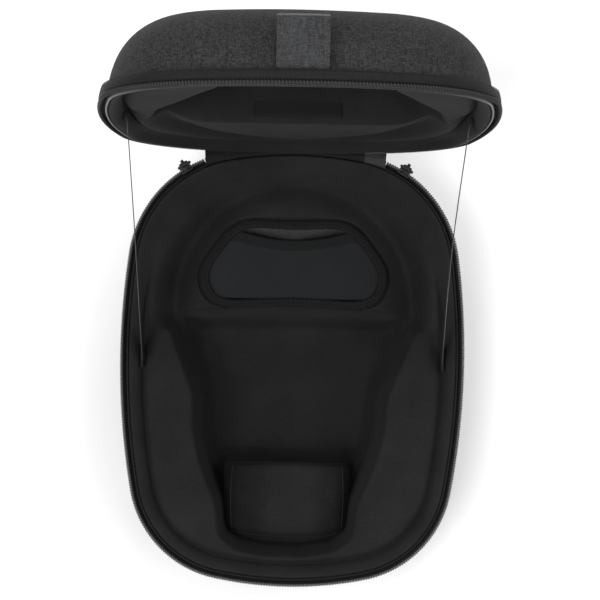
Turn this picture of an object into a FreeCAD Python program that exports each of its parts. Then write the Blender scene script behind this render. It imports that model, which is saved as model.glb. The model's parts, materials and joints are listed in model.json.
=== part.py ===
"""Hard-shell headphone carrying case, open at a right angle: base, lid, linings, zip, hinge and lid stays.

Frame: X across the case, +Y towards the hinge, +Z up, origin at the centre of the flat underside.
Each half is drawn about its own parting plane, with its depth going down from local height 0.  An inset
is a distance inwards from the rim's outermost line.  Millimetres.
"""
import FreeCAD, Part
import math
import os
import Sketcher

DIMENSIONS = {
    "rim_length": 268,
    "rim_width": 210,
    "widest_y": 6,
    "back_radius": 222,
    "back_corner_radius": 73,
    "side_radius": 460,
    "front_corner_radius": 66,
    "front_radius": 226,
    "base_depth": 66,
    "lid_depth": 42,
    "base_edge_radius": 28,
    "lid_edge_radius": 34,
    "wall_taper": 8,
    "skin_inset": 4.5,
    "skin_thick": 0.9,
    "shell_thick": 3,
    "ledge_inset": 1.6,
    "ledge_top": 5.2,
    "band_inset": 0.6,
    "band_foot": 7.5,
    "coil_width": 2,
    "coil_top": 0.7,
    "coil_foot": 3,
    "welt_inset": 3.8,
    "welt_top": 0.6,
    "lip_top": 3.2,
    "facing_top": 0.8,
    "facing_crest": 0.6,
    "facing_inset": 12,
    "facing_fall": 4.6,
    "deck_inset": 8.8,
    "deck_depth": 6,
    "sheet_thick": 3,
    "hinge_half": 55,
    "notch_half": 56.2,
    "leaf_top": 0.3,
    "pit_y": 33,
    "pit_back_half": 64,
    "pit_waist_half": 55,
    "pit_waist_y": 21,
    "pit_low_y": 45,
    "pit_front_half": 50,
    "pit_front_y": 58,
    "shoulder_half": 80,
    "shoulder_waist": 57.5,
    "shoulder_front": 52.4,
    "well_half": 41.5,
    "well_mid_y": 88,
    "well_front_y": 114,
    "base_pit_depth": 56,
    "base_shoulder_depth": 32,
    "base_well_depth": 36,
    "lid_pit_depth": 34,
    "lid_shoulder_depth": 22,
    "lid_well_depth": 20,
    "channel_y": 37.5,
    "channel_inner": 66,
    "channel_outer": 81,
    "channel_depth": 18,
    "pouch_y": 36,
    "pouch_back_y": 90,
    "pouch_back_half": 36,
    "pouch_side_y": 56,
    "pouch_side_half": 60,
    "pouch_front_half": 52,
    "pouch_back_share": 0.8,
    "pouch_gap": 1.5,
    "pouch_wall": 1,
    "pouch_depth": 28,
    "binding_width": 6,
    "binding_thick": 2.8,
    "flap_edge_y": 77.5,
    "flap_drop": 0.5,
    "flap_thick": 1.8,
    "bolster_half": 38,
    "bolster_back_y": 59,
    "bolster_length": 48,
    "bolster_tall": 20,
    "bolster_round": 8,
    "stay_x": 91.8,
    "stay_y": 5,
    "stay_depth": 5,
    "stay_width": 10,
    "stay_thick": 0.8,
    "stay_end": 8,
    "tab_thick": 1.8,
    "tab_length": 14,
    "tab_tall": 4,
    "loop_width": 24.5,
    "loop_web": 1.3,
    "loop_radius": 4.5,
    "loop_inset": 0.6,
    "loop_seam": 8,
    "loop_join": 10,
    "loop_bend": 29.5,
    "label_length": 48,
    "label_tall": 12,
    "label_thick": 0.6,
    "label_depth": 9,
    "stop_length": 3,
    "stop_gap": 0.3,
    "slider_turn": 32,
    "inner_gap": 0.3,
    "outer_gap": 0.8,
    "plate_long": 9,
    "plate_tall": 6,
    "outer_plate": 1.3,
    "inner_plate": 1,
    "inner_plate_short": 0.5,
    "inner_plate_low": 0.7,
    "neck_tall": 0.8,
    "neck_long": 4,
    "bridge_wide": 2.4,
    "bridge_reach": 3,
    "bridge_tall": 5.4,
    "bridge_root": 0.2,
    "eye_reach": 1.8,
    "eye_tall": 3,
    "pin_diameter": 1.2,
    "link_half": 2.2,
    "link_long": 9,
    "pull_wide": 8,
    "pull_long": 24,
    "pull_thick": 2.2,
    "pull_narrowing": 1,
    "pull_round": 1.2,
}

doc = FreeCAD.newDocument("headphone_case")
sheet = doc.addObject("Spreadsheet::Sheet", "Dimensions")
finished = []


def fill_sheet():
    for row, (alias, number) in enumerate(DIMENSIONS.items(), start=1):
        sheet.set(f"A{row}", alias)
        sheet.set(f"B{row}", str(number))
        sheet.setAlias(f"B{row}", alias)
    doc.recompute()


def size(alias):
    return float(sheet.get(alias))


def term(alias):
    return f"Dimensions.{alias}"


def reckon(expression):
    """The number that an expression over the sheet gives now."""
    names = {f"Dimensions.{alias}": str(size(alias)) for alias in DIMENSIONS}
    for name in sorted(names, key=len, reverse=True):
        expression = expression.replace(name, names[name])
    return float(FreeCAD.Units.Quantity(expression).Value)


# ---------------------------------------------------------------- the rim's outline

def nested_centre(centre_a, radius_a, centre_b, radius_b, radius):
    """Centre of the circle that lies inside two others and touches both, on the +X side."""
    reach_a, reach_b = radius_a - radius, radius_b - radius
    across = centre_b - centre_a
    along = (reach_a**2 - reach_b**2 + across.Length**2) / (2 * across.Length)
    rise = math.sqrt(reach_a**2 - along**2)
    unit = across.normalize()
    side = FreeCAD.Vector(-unit.y, unit.x, 0)
    choices = [centre_a + unit * along + side * (rise * sign) for sign in (1, -1)]
    return max(choices, key=lambda point: point.x)


def rim_centres():
    """Centres of the back, corner, side, corner and front arcs on the +X half of the rim."""
    half = size("rim_length") / 2
    back = FreeCAD.Vector(0, half - size("back_radius"), 0)
    side = FreeCAD.Vector(size("rim_width") / 2 - size("side_radius"), size("widest_y"), 0)
    front = FreeCAD.Vector(0, size("front_radius") - half, 0)
    back_corner = nested_centre(
        back, size("back_radius"), side, size("side_radius"), size("back_corner_radius"))
    front_corner = nested_centre(
        front, size("front_radius"), side, size("side_radius"), size("front_corner_radius"))
    return [back, back_corner, side, front_corner, front]


RIM_RADII = ["back_radius", "back_corner_radius", "side_radius", "front_corner_radius", "front_radius"]


def rim_arcs(inset):
    """The eight arcs of the rim, anticlockwise from the back: (centre, radius, first angle, last angle)."""
    centres = rim_centres()
    radii = [size(name) for name in RIM_RADII]
    turns = [math.pi / 2]
    for near, far in zip(centres, centres[1:]):
        aim = far - near if near.x < far.x else near - far
        turns.append(math.atan2(aim.y, aim.x))
    mirror = [FreeCAD.Vector(-centre.x, centre.y, 0) for centre in centres]
    spans = [(centres[0], radii[0], turns[1], math.pi - turns[1])]
    for k in (1, 2, 3):
        spans.append((mirror[k], radii[k], math.pi - turns[k], math.pi - turns[k + 1]))
    spans.append((centres[4], radii[4], -math.pi - turns[4], turns[4]))
    for k in (3, 2, 1):
        spans.append((centres[k], radii[k], turns[k + 1], turns[k]))
    return [(centre, radius - inset, first, last) for centre, radius, first, last in spans]


ARC_RADIUS = [0, 1, 2, 3, 4, 3, 2, 1]


def draw_rim(sketch, inset):
    """One closed, fully constrained loop of the rim's arcs, moved inwards by the inset expression."""
    start = sketch.GeometryCount
    depth = reckon(inset)
    for centre, radius, first, last in rim_arcs(depth):
        circle = Part.Circle(centre, FreeCAD.Vector(0, 0, 1), radius)
        sketch.addGeometry(Part.ArcOfCircle(circle, first, last), False)
    for k in range(8):
        follow = (k + 1) % 8
        sketch.addConstraint(Sketcher.Constraint("Tangent", start + k, 2, start + follow, 1))
    for k in range(8):
        name = RIM_RADII[ARC_RADIUS[k]]
        bind(sketch, ("Radius", start + k), f"{term(name)} - ({inset})")
    half = f"{term('rim_length')} / 2"
    back_y = f"{half} - {term('back_radius')}"
    front_y = f"{term('front_radius')} - {half}"
    side_x = f"{term('side_radius')} - {term('rim_width')} / 2"
    sketch.addConstraint(Sketcher.Constraint("PointOnObject", start, 3, -2))
    sketch.addConstraint(Sketcher.Constraint("PointOnObject", start + 4, 3, -2))
    bind(sketch, ("DistanceY", start, 3), back_y)
    bind(sketch, ("DistanceY", start + 4, 3), front_y)
    for k, sign in ((2, ""), (6, "-")):
        bind(sketch, ("DistanceX", start + k, 3), f"{sign}({side_x})")
        bind(sketch, ("DistanceY", start + k, 3), term("widest_y"))


# ---------------------------------------------------------------- sketch and feature helpers

def bind(sketch, what, expression):
    """Adds a dimension to a sketch and drives it from the sheet."""
    number = reckon(expression)
    index = sketch.addConstraint(Sketcher.Constraint(*what, number))
    sketch.setExpression(f"Constraints[{index}]", expression)


def new_body(label):
    body = doc.addObject("PartDesign::Body", label)
    body.Label = label
    return body


def new_sketch(body, height="0", plane="XY_Plane"):
    sketch = body.newObject("Sketcher::SketchObject", body.Name + "_sketch")
    origin = next(item for item in body.Origin.OriginFeatures if item.Role == plane)
    sketch.AttachmentSupport = [(origin, "")]
    sketch.MapMode = "FlatFace"
    sketch.setExpression(".AttachmentOffset.Base.z", height)
    return sketch


def low_arc(here, there):
    """Half circle under two points at one height, the first of them on the left."""
    circle = Part.Circle((here + there) * 0.5, FreeCAD.Vector(0, 0, 1), (there.x - here.x) / 2)
    return Part.ArcOfCircle(circle, math.pi, 2 * math.pi)


def draw_polygon(sketch, corners, bend=None):
    """A closed polygon whose corners are pairs of expressions, neither of them zero.

    The side numbered by bend is drawn as a half circle below its two corners.
    """
    start = sketch.GeometryCount
    points = [FreeCAD.Vector(reckon(x), reckon(y), 0) for x, y in corners]
    for k, (here, there) in enumerate(zip(points, points[1:] + points[:1])):
        piece = low_arc(here, there) if k == bend else Part.LineSegment(here, there)
        sketch.addGeometry(piece, False)
    for k, (x, y) in enumerate(corners):
        before = start + (k - 1) % len(corners)
        sketch.addConstraint(Sketcher.Constraint("Coincident", before, 2, start + k, 1))
        bind(sketch, ("DistanceX", start + k, 1), x)
        bind(sketch, ("DistanceY", start + k, 1), y)
    if bend is not None:
        bind(sketch, ("DistanceY", start + bend, 3), corners[bend][1])


def mirrored(right_side):
    """Corners given down the +X side, closed round the -X side."""
    return right_side + [(f"-({x})", y) for x, y in reversed(right_side)]


def extrude(body, sketch, kind, length, down=False, taper=None):
    feature = body.newObject(f"PartDesign::{kind}", f"{body.Name}_{kind}")
    feature.Profile = sketch
    feature.setExpression("Length", length)
    if kind == "Pocket":
        feature.Reversed = not down
    else:
        feature.Reversed = down
    if taper:
        feature.setExpression("TaperAngle", taper)
    doc.recompute()
    return feature


def pad(body, sketch, length, down=True, taper=None):
    return extrude(body, sketch, "Pad", length, down, taper)


def pocket(body, sketch, length, down=True, taper=None):
    return extrude(body, sketch, "Pocket", length, down, taper)


def edges_where(shape, wanted):
    return [f"Edge{k}" for k, edge in enumerate(shape.Edges, start=1) if wanted(edge)]


def round_edges(body, wanted, radius):
    """Rounds the edges of the body's last feature that pass the test."""
    base = body.Tip
    names = edges_where(base.Shape, wanted)
    feature = body.newObject("PartDesign::Fillet", f"{body.Name}_Fillet")
    feature.Base = (base, names)
    feature.setExpression("Radius", radius)
    doc.recompute()
    return feature


def lies_at(edge, height):
    box = edge.BoundBox
    return abs(box.ZMin - height) < 1e-4 and abs(box.ZMax - height) < 1e-4


def runs_along_y(edge):
    box = edge.BoundBox
    return box.XLength < 1e-4 and box.ZLength < 1e-4


def primitive(kind, label, **sizes):
    """A Part primitive whose sizes are expressions."""
    item = doc.addObject(f"Part::{kind}", label)
    for field, expression in sizes.items():
        item.setExpression(field, expression)
    return item


def box_at(label, low, lengths):
    """A Part::Box with its low corner and its sizes given as expressions."""
    item = doc.addObject("Part::Box", label)
    for field, expression in zip(("Length", "Width", "Height"), lengths):
        item.setExpression(field, expression)
    for axis, expression in zip("xyz", low):
        item.setExpression(f".Placement.Base.{axis}", expression)
    return item


def fuse(label, items):
    result = doc.addObject("Part::MultiFuse", label)
    result.Shapes = items
    result.Refine = True
    result.Label = label
    return result


def cut(label, base, tool):
    result = doc.addObject("Part::Cut", label)
    result.Base = base
    result.Tool = tool
    result.Label = label
    return result


# ---------------------------------------------------------------- placing the two halves

def base_place():
    """The base stands on the ground: its parting plane is base_depth above it."""
    return FreeCAD.Placement(FreeCAD.Vector(0, 0, size("base_depth")), FreeCAD.Rotation())


def hinge_y():
    """The hinge line lies in the plane of the fabric, at the middle of the back."""
    return size("rim_length") / 2 - size("skin_inset")


def lid_place():
    """The lid stands upright on its hinge: its depth points to +Y and its front edge points up."""
    upright = FreeCAD.Rotation(FreeCAD.Vector(0, 1, -1), 180)
    return FreeCAD.Placement(
        FreeCAD.Vector(0, hinge_y(), size("base_depth") + hinge_y()), upright)


def finish(item, placement):
    item.Placement = placement.multiply(item.Placement)
    finished.append(item)
    return item


# ---------------------------------------------------------------- shells, skins and rims

def tapered_form(body, inset, floor_inset, radius, depth):
    """A half's solid form from the band's foot down: a tapered wall and a rounded bottom edge."""
    sketch = new_sketch(body, f"-{term('band_foot')}")
    draw_rim(sketch, inset)
    length = f"{term(depth)} - {term('band_foot')} - ({floor_inset})"
    pad(body, sketch, length, taper=f"-{term('wall_taper')}")
    floor = reckon(f"({floor_inset}) - {term(depth)}")
    round_edges(body, lambda edge: lies_at(edge, floor), radius)


def form_body(label, inset, floor_inset, radius, depth):
    body = new_body(label)
    tapered_form(body, inset, floor_inset, radius, depth)
    return body


def shell(label, depth, edge_radius, placement):
    """Moulded foam shell: ledge under the zip, wall, floor, and a lip that carries the facing."""
    body = new_body(f"{label}_outside")
    outer = f"{term('skin_inset')} + {term('skin_thick')}"
    inner = f"{outer} + {term('shell_thick')}"
    ledge = new_sketch(body, f"-{term('ledge_top')}")
    draw_rim(ledge, term("ledge_inset"))
    draw_rim(ledge, outer)
    pad(body, ledge, f"{term('band_foot')} - {term('ledge_top')}")
    hinge_notch(body)
    lip = new_sketch(body, f"-{term('lip_top')}")
    draw_rim(lip, outer)
    pad(body, lip, f"{term('band_foot')} - {term('lip_top')}")
    tapered_form(body, outer, term("skin_thick"), f"{term(edge_radius)} - {term('skin_thick')}", depth)
    covered = f"{term('skin_thick')} + {term('shell_thick')}"
    room = form_body(f"{label}_room", inner, covered, f"{term(edge_radius)} - ({covered})", depth)
    mouth = new_sketch(room, f"-{term('band_foot')}")
    draw_rim(mouth, inner)
    pad(room, mouth, term("band_foot"), down=False)
    finish(cut(label, body, room), placement)


def skin(label, depth, edge_radius, placement):
    """Woven cover bonded to the outside of the shell, from the band's foot round the bottom."""
    outer = term("skin_inset")
    inner = f"{outer} + {term('skin_thick')}"
    outside = form_body(f"{label}_outside", outer, "0", term(edge_radius), depth)
    inside = form_body(
        f"{label}_inside", inner, term("skin_thick"),
        f"{term(edge_radius)} - {term('skin_thick')}", depth)
    finish(cut(label, outside, inside), placement)


def hinge_notch(body):
    """Opens a rim piece at the back, where the fabric hinge takes its place."""
    sketch = new_sketch(body, "0")
    half = term("notch_half")
    near = f"{term('rim_length')} / 4"
    far = f"{term('rim_length')} * 3 / 4"
    draw_polygon(sketch, mirrored([(half, near), (half, far)]))
    pocket(body, sketch, term("base_depth"))


def rim_ring(label, outer, inner, top, foot, placement):
    """A band that follows the rim between two insets and two depths, open at the hinge."""
    body = new_body(label)
    sketch = new_sketch(body, f"-({top})")
    draw_rim(sketch, outer)
    draw_rim(sketch, inner)
    pad(body, sketch, f"{foot} - ({top})")
    hinge_notch(body)
    finish(body, placement)


def facing(label, placement):
    """Lining band round the mouth: it caps the lip and falls inwards to the deck."""
    body = new_body(label)
    outer = f"{term('skin_inset')} + {term('skin_thick')}"
    lip_inner = f"{outer} + {term('shell_thick')}"
    ring = new_sketch(body, f"-{term('facing_top')}")
    draw_rim(ring, outer)
    draw_rim(ring, term("facing_inset"))
    pad(body, ring, f"{term('deck_depth')} - {term('facing_top')}")
    room = new_sketch(body, f"-{term('lip_top')}")
    draw_rim(room, term("ledge_inset"))
    draw_rim(room, lip_inner)
    pocket(body, room, f"{term('deck_depth')} - {term('lip_top')}")
    top = -size("facing_top")
    base = body.Tip
    inner_edges = edges_where(
        base.Shape, lambda edge: lies_at(edge, top) and on_rim(edge, size("facing_inset")))
    slope = body.newObject("PartDesign::Chamfer", f"{label}_slope")
    slope.Base = (base, inner_edges)
    slope.ChamferType = "Two distances"
    slope.setExpression("Size", f"{term('facing_inset')} - ({outer}) - {term('facing_crest')}")
    slope.setExpression("Size2", term("facing_fall"))
    doc.recompute()
    finish(body, placement)


def on_rim(edge, inset):
    """Whether an edge is one of the rim's arcs at this inset."""
    if not isinstance(edge.Curve, Part.Circle):
        return False
    radii = [size(name) - inset for name in RIM_RADII]
    return any(abs(edge.Curve.Radius - radius) < 1e-3 for radius in radii)


# ---------------------------------------------------------------- moulded inserts

def pit_corners(grow):
    return mirrored([
        (f"{term('pit_back_half')} + {grow}", f"{term('pit_y')} + {grow}"),
        (f"{term('pit_waist_half')} + {grow}", f"-{term('pit_waist_y')}"),
        (f"{term('pit_waist_half')} + {grow}", f"-{term('pit_low_y')}"),
        (f"{term('pit_front_half')} + {grow}", f"-{term('pit_front_y')} - {grow}"),
    ])


def shoulder_corners(grow):
    return mirrored([
        (f"{term('shoulder_half')} + {grow}", f"{term('pit_y')} + {grow}"),
        (f"{term('shoulder_waist')} + {grow}", f"-{term('pit_waist_y')}"),
        (f"{term('shoulder_waist')} + {grow}", f"-{term('pit_low_y')}"),
        (f"{term('shoulder_front')} + {grow}", f"-{term('pit_front_y')} - {grow}"),
    ])


def well_corners(grow):
    return mirrored([
        (f"{term('shoulder_front')} + {grow}", f"-{term('pit_front_y')}"),
        (f"{term('well_half')} + {grow}", f"-{term('well_mid_y')}"),
        (f"{term('well_half')} + {grow}", f"-{term('well_front_y')} - {grow}"),
    ])


def channel(body, kind, grow, top, foot):
    """The half ring that the headband lies in, turned about the channel's upright axis."""
    sketch = new_sketch(body, f"-{term('channel_y')}", "XZ_Plane")
    draw_polygon(sketch, [
        (f"{term('channel_inner')} - {grow}", f"-({top})"),
        (f"{term('channel_outer')} + {grow}", f"-({top})"),
        (f"{term('channel_outer')} + {grow}", f"-({foot})"),
        (f"{term('channel_inner')} - {grow}", f"-({foot})"),
    ])
    feature = body.newObject(f"PartDesign::{kind}", f"{body.Name}_{kind}")
    feature.Profile = sketch
    feature.ReferenceAxis = (sketch, ["V_Axis"])
    feature.Angle = 180
    doc.recompute()
    if feature.Shape.BoundBox.YMax < size("channel_y"):
        feature.Reversed = True
        doc.recompute()
    return feature


def insert(label, half, placement, with_pocket):
    """Formed foam insert: a deck, the recess for the ear cups, the well and the headband channel."""
    body = new_body(label)
    deck = term("deck_depth")
    wall = term("sheet_thick")
    plate = new_sketch(body, f"-{deck}")
    draw_rim(plate, term("deck_inset"))
    pad(body, plate, wall)
    recesses = [
        (pit_corners, term(f"{half}_pit_depth")),
        (shoulder_corners, term(f"{half}_shoulder_depth")),
        (well_corners, term(f"{half}_well_depth")),
    ]
    for corners, foot in recesses:
        block = new_sketch(body, f"-{deck}")
        draw_polygon(block, corners(wall))
        pad(body, block, f"{foot} + {wall} - {deck}")
    channel(body, "Revolution", wall, deck, f"{term('channel_depth')} + {wall}")
    for corners, foot in recesses:
        hollow = new_sketch(body, f"-{deck}")
        draw_polygon(hollow, corners("0"))
        pocket(body, hollow, f"{foot} - {deck}")
    channel(body, "Groove", "0", deck, term("channel_depth"))
    if with_pocket:
        hole = new_sketch(body, f"-{deck}")
        draw_polygon(hole, pouch_corners("0"))
        pocket(body, hole, wall)
    finish(body, placement)


def pouch_corners(shrink):
    """Outline of the accessory pocket's mouth, made smaller all round."""
    back = f"({shrink}) * {term('pouch_back_share')}"
    return mirrored([
        (f"{term('pouch_back_half')} - {back}", f"{term('pouch_back_y')} - ({shrink})"),
        (f"{term('pouch_side_half')} - ({shrink})", f"{term('pouch_side_y')}"),
        (f"{term('pouch_front_half')} - ({shrink})", f"{term('pouch_y')} + ({shrink})"),
    ])


def pouch(placement):
    """Lining cup of the accessory pocket, hung under the deck."""
    body = new_body("pocket_pouch")
    top = f"{term('deck_depth')} + {term('sheet_thick')}"
    cup = new_sketch(body, f"-({top})")
    draw_polygon(cup, pouch_corners(term("pouch_gap")))
    pad(body, cup, f"{term('pouch_depth')} - ({top})")
    hollow = new_sketch(body, f"-({top})")
    draw_polygon(hollow, pouch_corners(f"{term('pouch_gap')} + {term('pouch_wall')}"))
    pocket(body, hollow, f"{term('pouch_depth')} - ({top}) - {term('pouch_wall')}")
    finish(body, placement)


def binding(placement):
    """Bound edge of the pocket's mouth, stitched to the deck."""
    body = new_body("pocket_binding")
    ring = new_sketch(body, f"-{term('deck_depth')}")
    draw_polygon(ring, pouch_corners("0"))
    draw_polygon(ring, pouch_corners(term("binding_width")))
    pad(body, ring, term("binding_thick"))
    finish(body, placement)


def flap(placement):
    """Stretch panel across the pocket, held by the binding on three sides and free at the back."""
    body = new_body("pocket_flap")
    panel = new_sketch(body, f"-{term('deck_depth')} - {term('flap_drop')}")
    draw_polygon(panel, pouch_corners(term("binding_width")))
    pad(body, panel, term("flap_thick"))
    mouth = new_sketch(body, "0")
    half = term("pouch_side_half")
    draw_polygon(mouth, mirrored([(half, term("flap_edge_y")), (half, term("rim_length"))]))
    pocket(body, mouth, term("base_depth"))
    finish(body, placement)


def bolster(placement):
    """Crowned pad that fills the well and holds the ear cups back from the front wall."""
    body = new_body("tray_bolster")
    block = new_sketch(body, f"-{term('base_well_depth')}")
    half = term("bolster_half")
    back = f"-{term('bolster_back_y')}"
    draw_polygon(block, mirrored([(half, back), (half, f"{back} - {term('bolster_length')}")]))
    pad(body, block, term("bolster_tall"), down=False)
    top = size("bolster_tall") - size("base_well_depth")
    round_edges(body, lambda edge: lies_at(edge, top), term("bolster_round"))
    finish(body, placement)


# ---------------------------------------------------------------- hinge, stays, label and loop

def hinge_leaf(label, placement):
    """One half of the fabric hinge, against the shell's lip across the back."""
    body = new_body(label)
    inner = f"{term('skin_inset')} + {term('skin_thick')}"
    ring = new_sketch(body, f"-{term('leaf_top')}")
    draw_rim(ring, term("skin_inset"))
    draw_rim(ring, inner)
    pad(body, ring, f"{term('band_foot')} - {term('leaf_top')}")
    trim = new_sketch(body, "0")
    half, wide = term("hinge_half"), term("rim_width")
    near, far = f"{term('rim_length')} / 4", term("rim_length")
    for sign in ("", "-"):
        draw_polygon(trim, [
            (f"{sign}{half}", near), (f"{sign}{wide}", near),
            (f"{sign}{wide}", far), (f"{sign}{half}", far)])
    pocket(body, trim, term("base_depth"))
    front = new_sketch(body, "0")
    draw_polygon(front, mirrored([(wide, near), (wide, f"-{far}")]))
    pocket(body, front, term("base_depth"))
    finish(body, placement)


def stay_tabs(half, placement):
    """Sewn tabs that anchor the two stays at the foot of the facing."""
    for side, sign in (("right", 1), ("left", -1)):
        world = sign if half == "base" else -sign
        middle = f"{world} * {term('stay_x')}"
        tab = box_at(
            f"stay_tab_{half}_{side}",
            (f"{middle} - {term('tab_thick')} / 2", f"{term('stay_y')} - {term('tab_length')} / 2",
             f"-{term('deck_depth')}"),
            (term("tab_thick"), term("tab_length"), term("tab_tall")))
        solid = own_piece(tab, f"stay_tab_{half}_{side}")
        finish(solid, placement)


def own_piece(item, label):
    """Frees a bound primitive's placement by putting it in a compound of its own."""
    item.Label = f"{label}_blank"
    group = doc.addObject("Part::Compound", f"{label}_piece")
    group.Links = [item]
    group.Label = label
    return group


def lid_stays():
    """Flat ribbons from the base's tabs to the lid's, edge on to the case's sides."""
    reach = size("stay_depth") + hinge_y() - size("stay_y")
    full = reach * math.sqrt(2)
    middle_y = (size("stay_y") + hinge_y() + size("stay_depth")) / 2
    middle_z = size("base_depth") + middle_y - size("stay_y") - size("stay_depth")
    for side, sign in (("right", 1), ("left", -1)):
        ribbon = primitive(
            "Box", f"lid_stay_{side}", Length=term("stay_thick"), Height=term("stay_width"),
            Width=f"{full} - 2 * {term('stay_end')}")
        doc.recompute()
        centre = FreeCAD.Vector(sign * size("stay_x"), middle_y, middle_z)
        half = FreeCAD.Vector(ribbon.Length.Value, ribbon.Width.Value, ribbon.Height.Value) * 0.5
        slope = FreeCAD.Rotation(FreeCAD.Vector(1, 0, 0), 45)
        ribbon.Placement = FreeCAD.Placement(centre - slope.multVec(half), slope)
        finished.append(ribbon)


def carry_loop(placement):
    """Folded webbing loop, sewn in under the lid's zip band at the front."""
    body = new_body("carry_loop")
    sketch = new_sketch(body, f"-{term('loop_width')} / 2", "YZ_Plane")
    web = term("loop_web")
    outer = f"{term('loop_inset')} - {term('rim_length')} / 2"
    back = f"{outer} + 2 * {term('loop_radius')}"
    bend = f"-{term('loop_bend')}"
    draw_polygon(sketch, [
        (outer, f"-{term('loop_seam')}"),
        (outer, bend),
        (back, bend),
        (f"{outer} + 2 * {web}", f"-{term('loop_join')}"),
        (f"{outer} + 2 * {web}", f"-{term('loop_seam')}"),
    ], bend=1)
    draw_polygon(sketch, [
        (f"{outer} + {web}", f"-{term('loop_join')} - {web}"),
        (f"{outer} + {web}", bend),
        (f"{back} - {web}", bend),
    ], bend=1)
    pad(body, sketch, term("loop_width"), down=False)
    finish(body, placement)


def lid_label(placement):
    """Plain woven label on the hinge-side wall of the lid's recess."""
    item = box_at(
        "lid_label",
        (f"-{term('label_length')} / 2", f"{term('pit_y')} - {term('label_thick')}",
         f"-{term('label_depth')} - {term('label_tall')}"),
        (term("label_length"), term("label_thick"), term("label_tall")))
    finish(own_piece(item, "lid_label"), placement)


# ---------------------------------------------------------------- zip sliders, pulls and stops

def path_place(turn, height, inset=0.0):
    """A frame on the back corner: local X along the rim, local Y outwards, turned from +Y to +X."""
    centre = rim_centres()[1]
    angle = math.radians(abs(turn))
    out = FreeCAD.Vector(math.sin(angle), math.cos(angle), 0)
    point = centre + out * (size("back_corner_radius") - inset)
    if turn < 0:
        point.x = -point.x
    point.z = height
    return FreeCAD.Placement(point, FreeCAD.Rotation(FreeCAD.Vector(0, 0, 1), -turn))


def zip_stops(half, placement):
    """Moulded stops at the two ends of the zip's coil."""
    stops = []
    reach = size("notch_half") - size("stop_length") / 2 - size("stop_gap")
    turn = math.degrees(math.asin((reach - rim_centres()[1].x) / size("back_corner_radius")))
    for sign in (1, -1):
        stop = primitive(
            "Box", f"stop_{half}_{'right' if sign > 0 else 'left'}",
            Length=term("stop_length"), Width=term("coil_width"),
            Height=f"{term('coil_foot')} - {term('coil_top')}")
        doc.recompute()
        corner = FreeCAD.Placement(
            FreeCAD.Vector(-size("stop_length") / 2, -size("coil_width"), 0), FreeCAD.Rotation())
        stop.Placement = path_place(sign * turn, -size("coil_foot")).multiply(corner)
        stops.append(stop)
    group = doc.addObject("Part::Compound", f"zip_stops_{half}")
    group.Links = stops
    group.Label = f"zip_stops_{half}"
    finish(group, placement)


def slider(side, turn):
    """Zip slider: a plate either side of the coils, a neck between them and a bridge for the link."""
    name = f"zip_slider_{side}"
    near, gap = term("outer_gap"), term("inner_gap")
    far = f"{near} + {term('outer_plate')}"
    short, low = term("inner_plate_short"), term("inner_plate_low")
    root = term("bridge_root")
    outer = box_at(
        f"{name}_outer",
        (f"-{term('plate_long')} / 2", near, f"-{term('plate_tall')} / 2"),
        (term("plate_long"), term("outer_plate"), term("plate_tall")))
    inner = box_at(
        f"{name}_inner",
        (f"{short} - {term('plate_long')} / 2", f"-{term('coil_width')} - {gap} - {term('inner_plate')}",
         f"{low} - {term('plate_tall')} / 2"),
        (f"{term('plate_long')} - 2 * {short}", term("inner_plate"),
         f"{term('plate_tall')} - 2 * {low}"))
    neck = box_at(
        f"{name}_neck",
        (f"-{term('neck_long')} / 2", f"-{term('coil_width')} - {gap} - {term('inner_plate')} / 2",
         f"-{term('neck_tall')} / 2"),
        (term("neck_long"),
         f"{term('coil_width')} + {gap} + {near} + ({term('inner_plate')} + {term('outer_plate')}) / 2",
         term("neck_tall")))
    bridge = box_at(
        f"{name}_bridge",
        (f"-{term('bridge_wide')} / 2", f"{far} - {root}", f"-{term('bridge_tall')} / 2"),
        (term("bridge_wide"), f"{term('bridge_reach')} + {root}", term("bridge_tall")))
    eye = box_at(
        f"{name}_eye",
        (f"-{term('bridge_wide')}", far, f"-{term('eye_tall')} / 2"),
        (f"2 * {term('bridge_wide')}", term("eye_reach"), term("eye_tall")))
    arch = cut(f"{name}_arch", bridge, eye)
    solid = fuse(name, [outer, inner, neck, arch])
    finish(solid, path_place(turn, size("base_depth")))


def pull(side, turn):
    """Wire link through the slider's bridge, and the moulded tab that hangs from it."""
    axis = f"{term('outer_gap')} + {term('outer_plate')} + {term('eye_reach')} / 2"
    place = path_place(turn, size("base_depth"))
    wire = term("pin_diameter")
    half = term("link_half")
    pieces = []
    for end, height in (("top", "0"), ("foot", f"-{term('link_long')}")):
        bar = primitive(
            "Cylinder", f"link_{side}_{end}", Radius=f"{wire} / 2", Height=f"2 * {half}")
        bar.setExpression(".Placement.Base.x", f"-{half}")
        bar.setExpression(".Placement.Base.y", axis)
        bar.setExpression(".Placement.Base.z", height)
        bar.Placement.Rotation = FreeCAD.Rotation(FreeCAD.Vector(0, 1, 0), 90)
        pieces.append(bar)
    for end in ("", "-"):
        arm = primitive(
            "Cylinder", f"link_{side}_arm", Radius=f"{wire} / 2", Height=term("link_long"))
        ball = [primitive("Sphere", f"link_{side}_corner", Radius=f"{wire} / 2") for _ in range(2)]
        for item, low in ((arm, term("link_long")), (ball[0], "0"), (ball[1], term("link_long"))):
            item.setExpression(".Placement.Base.x", f"{end}{half}")
            item.setExpression(".Placement.Base.y", axis)
            item.setExpression(".Placement.Base.z", f"-{low}")
        pieces += [arm, *ball]
    finish(fuse(f"pull_link_{side}", pieces), place)
    pull_tab(side, axis, place)


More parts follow.
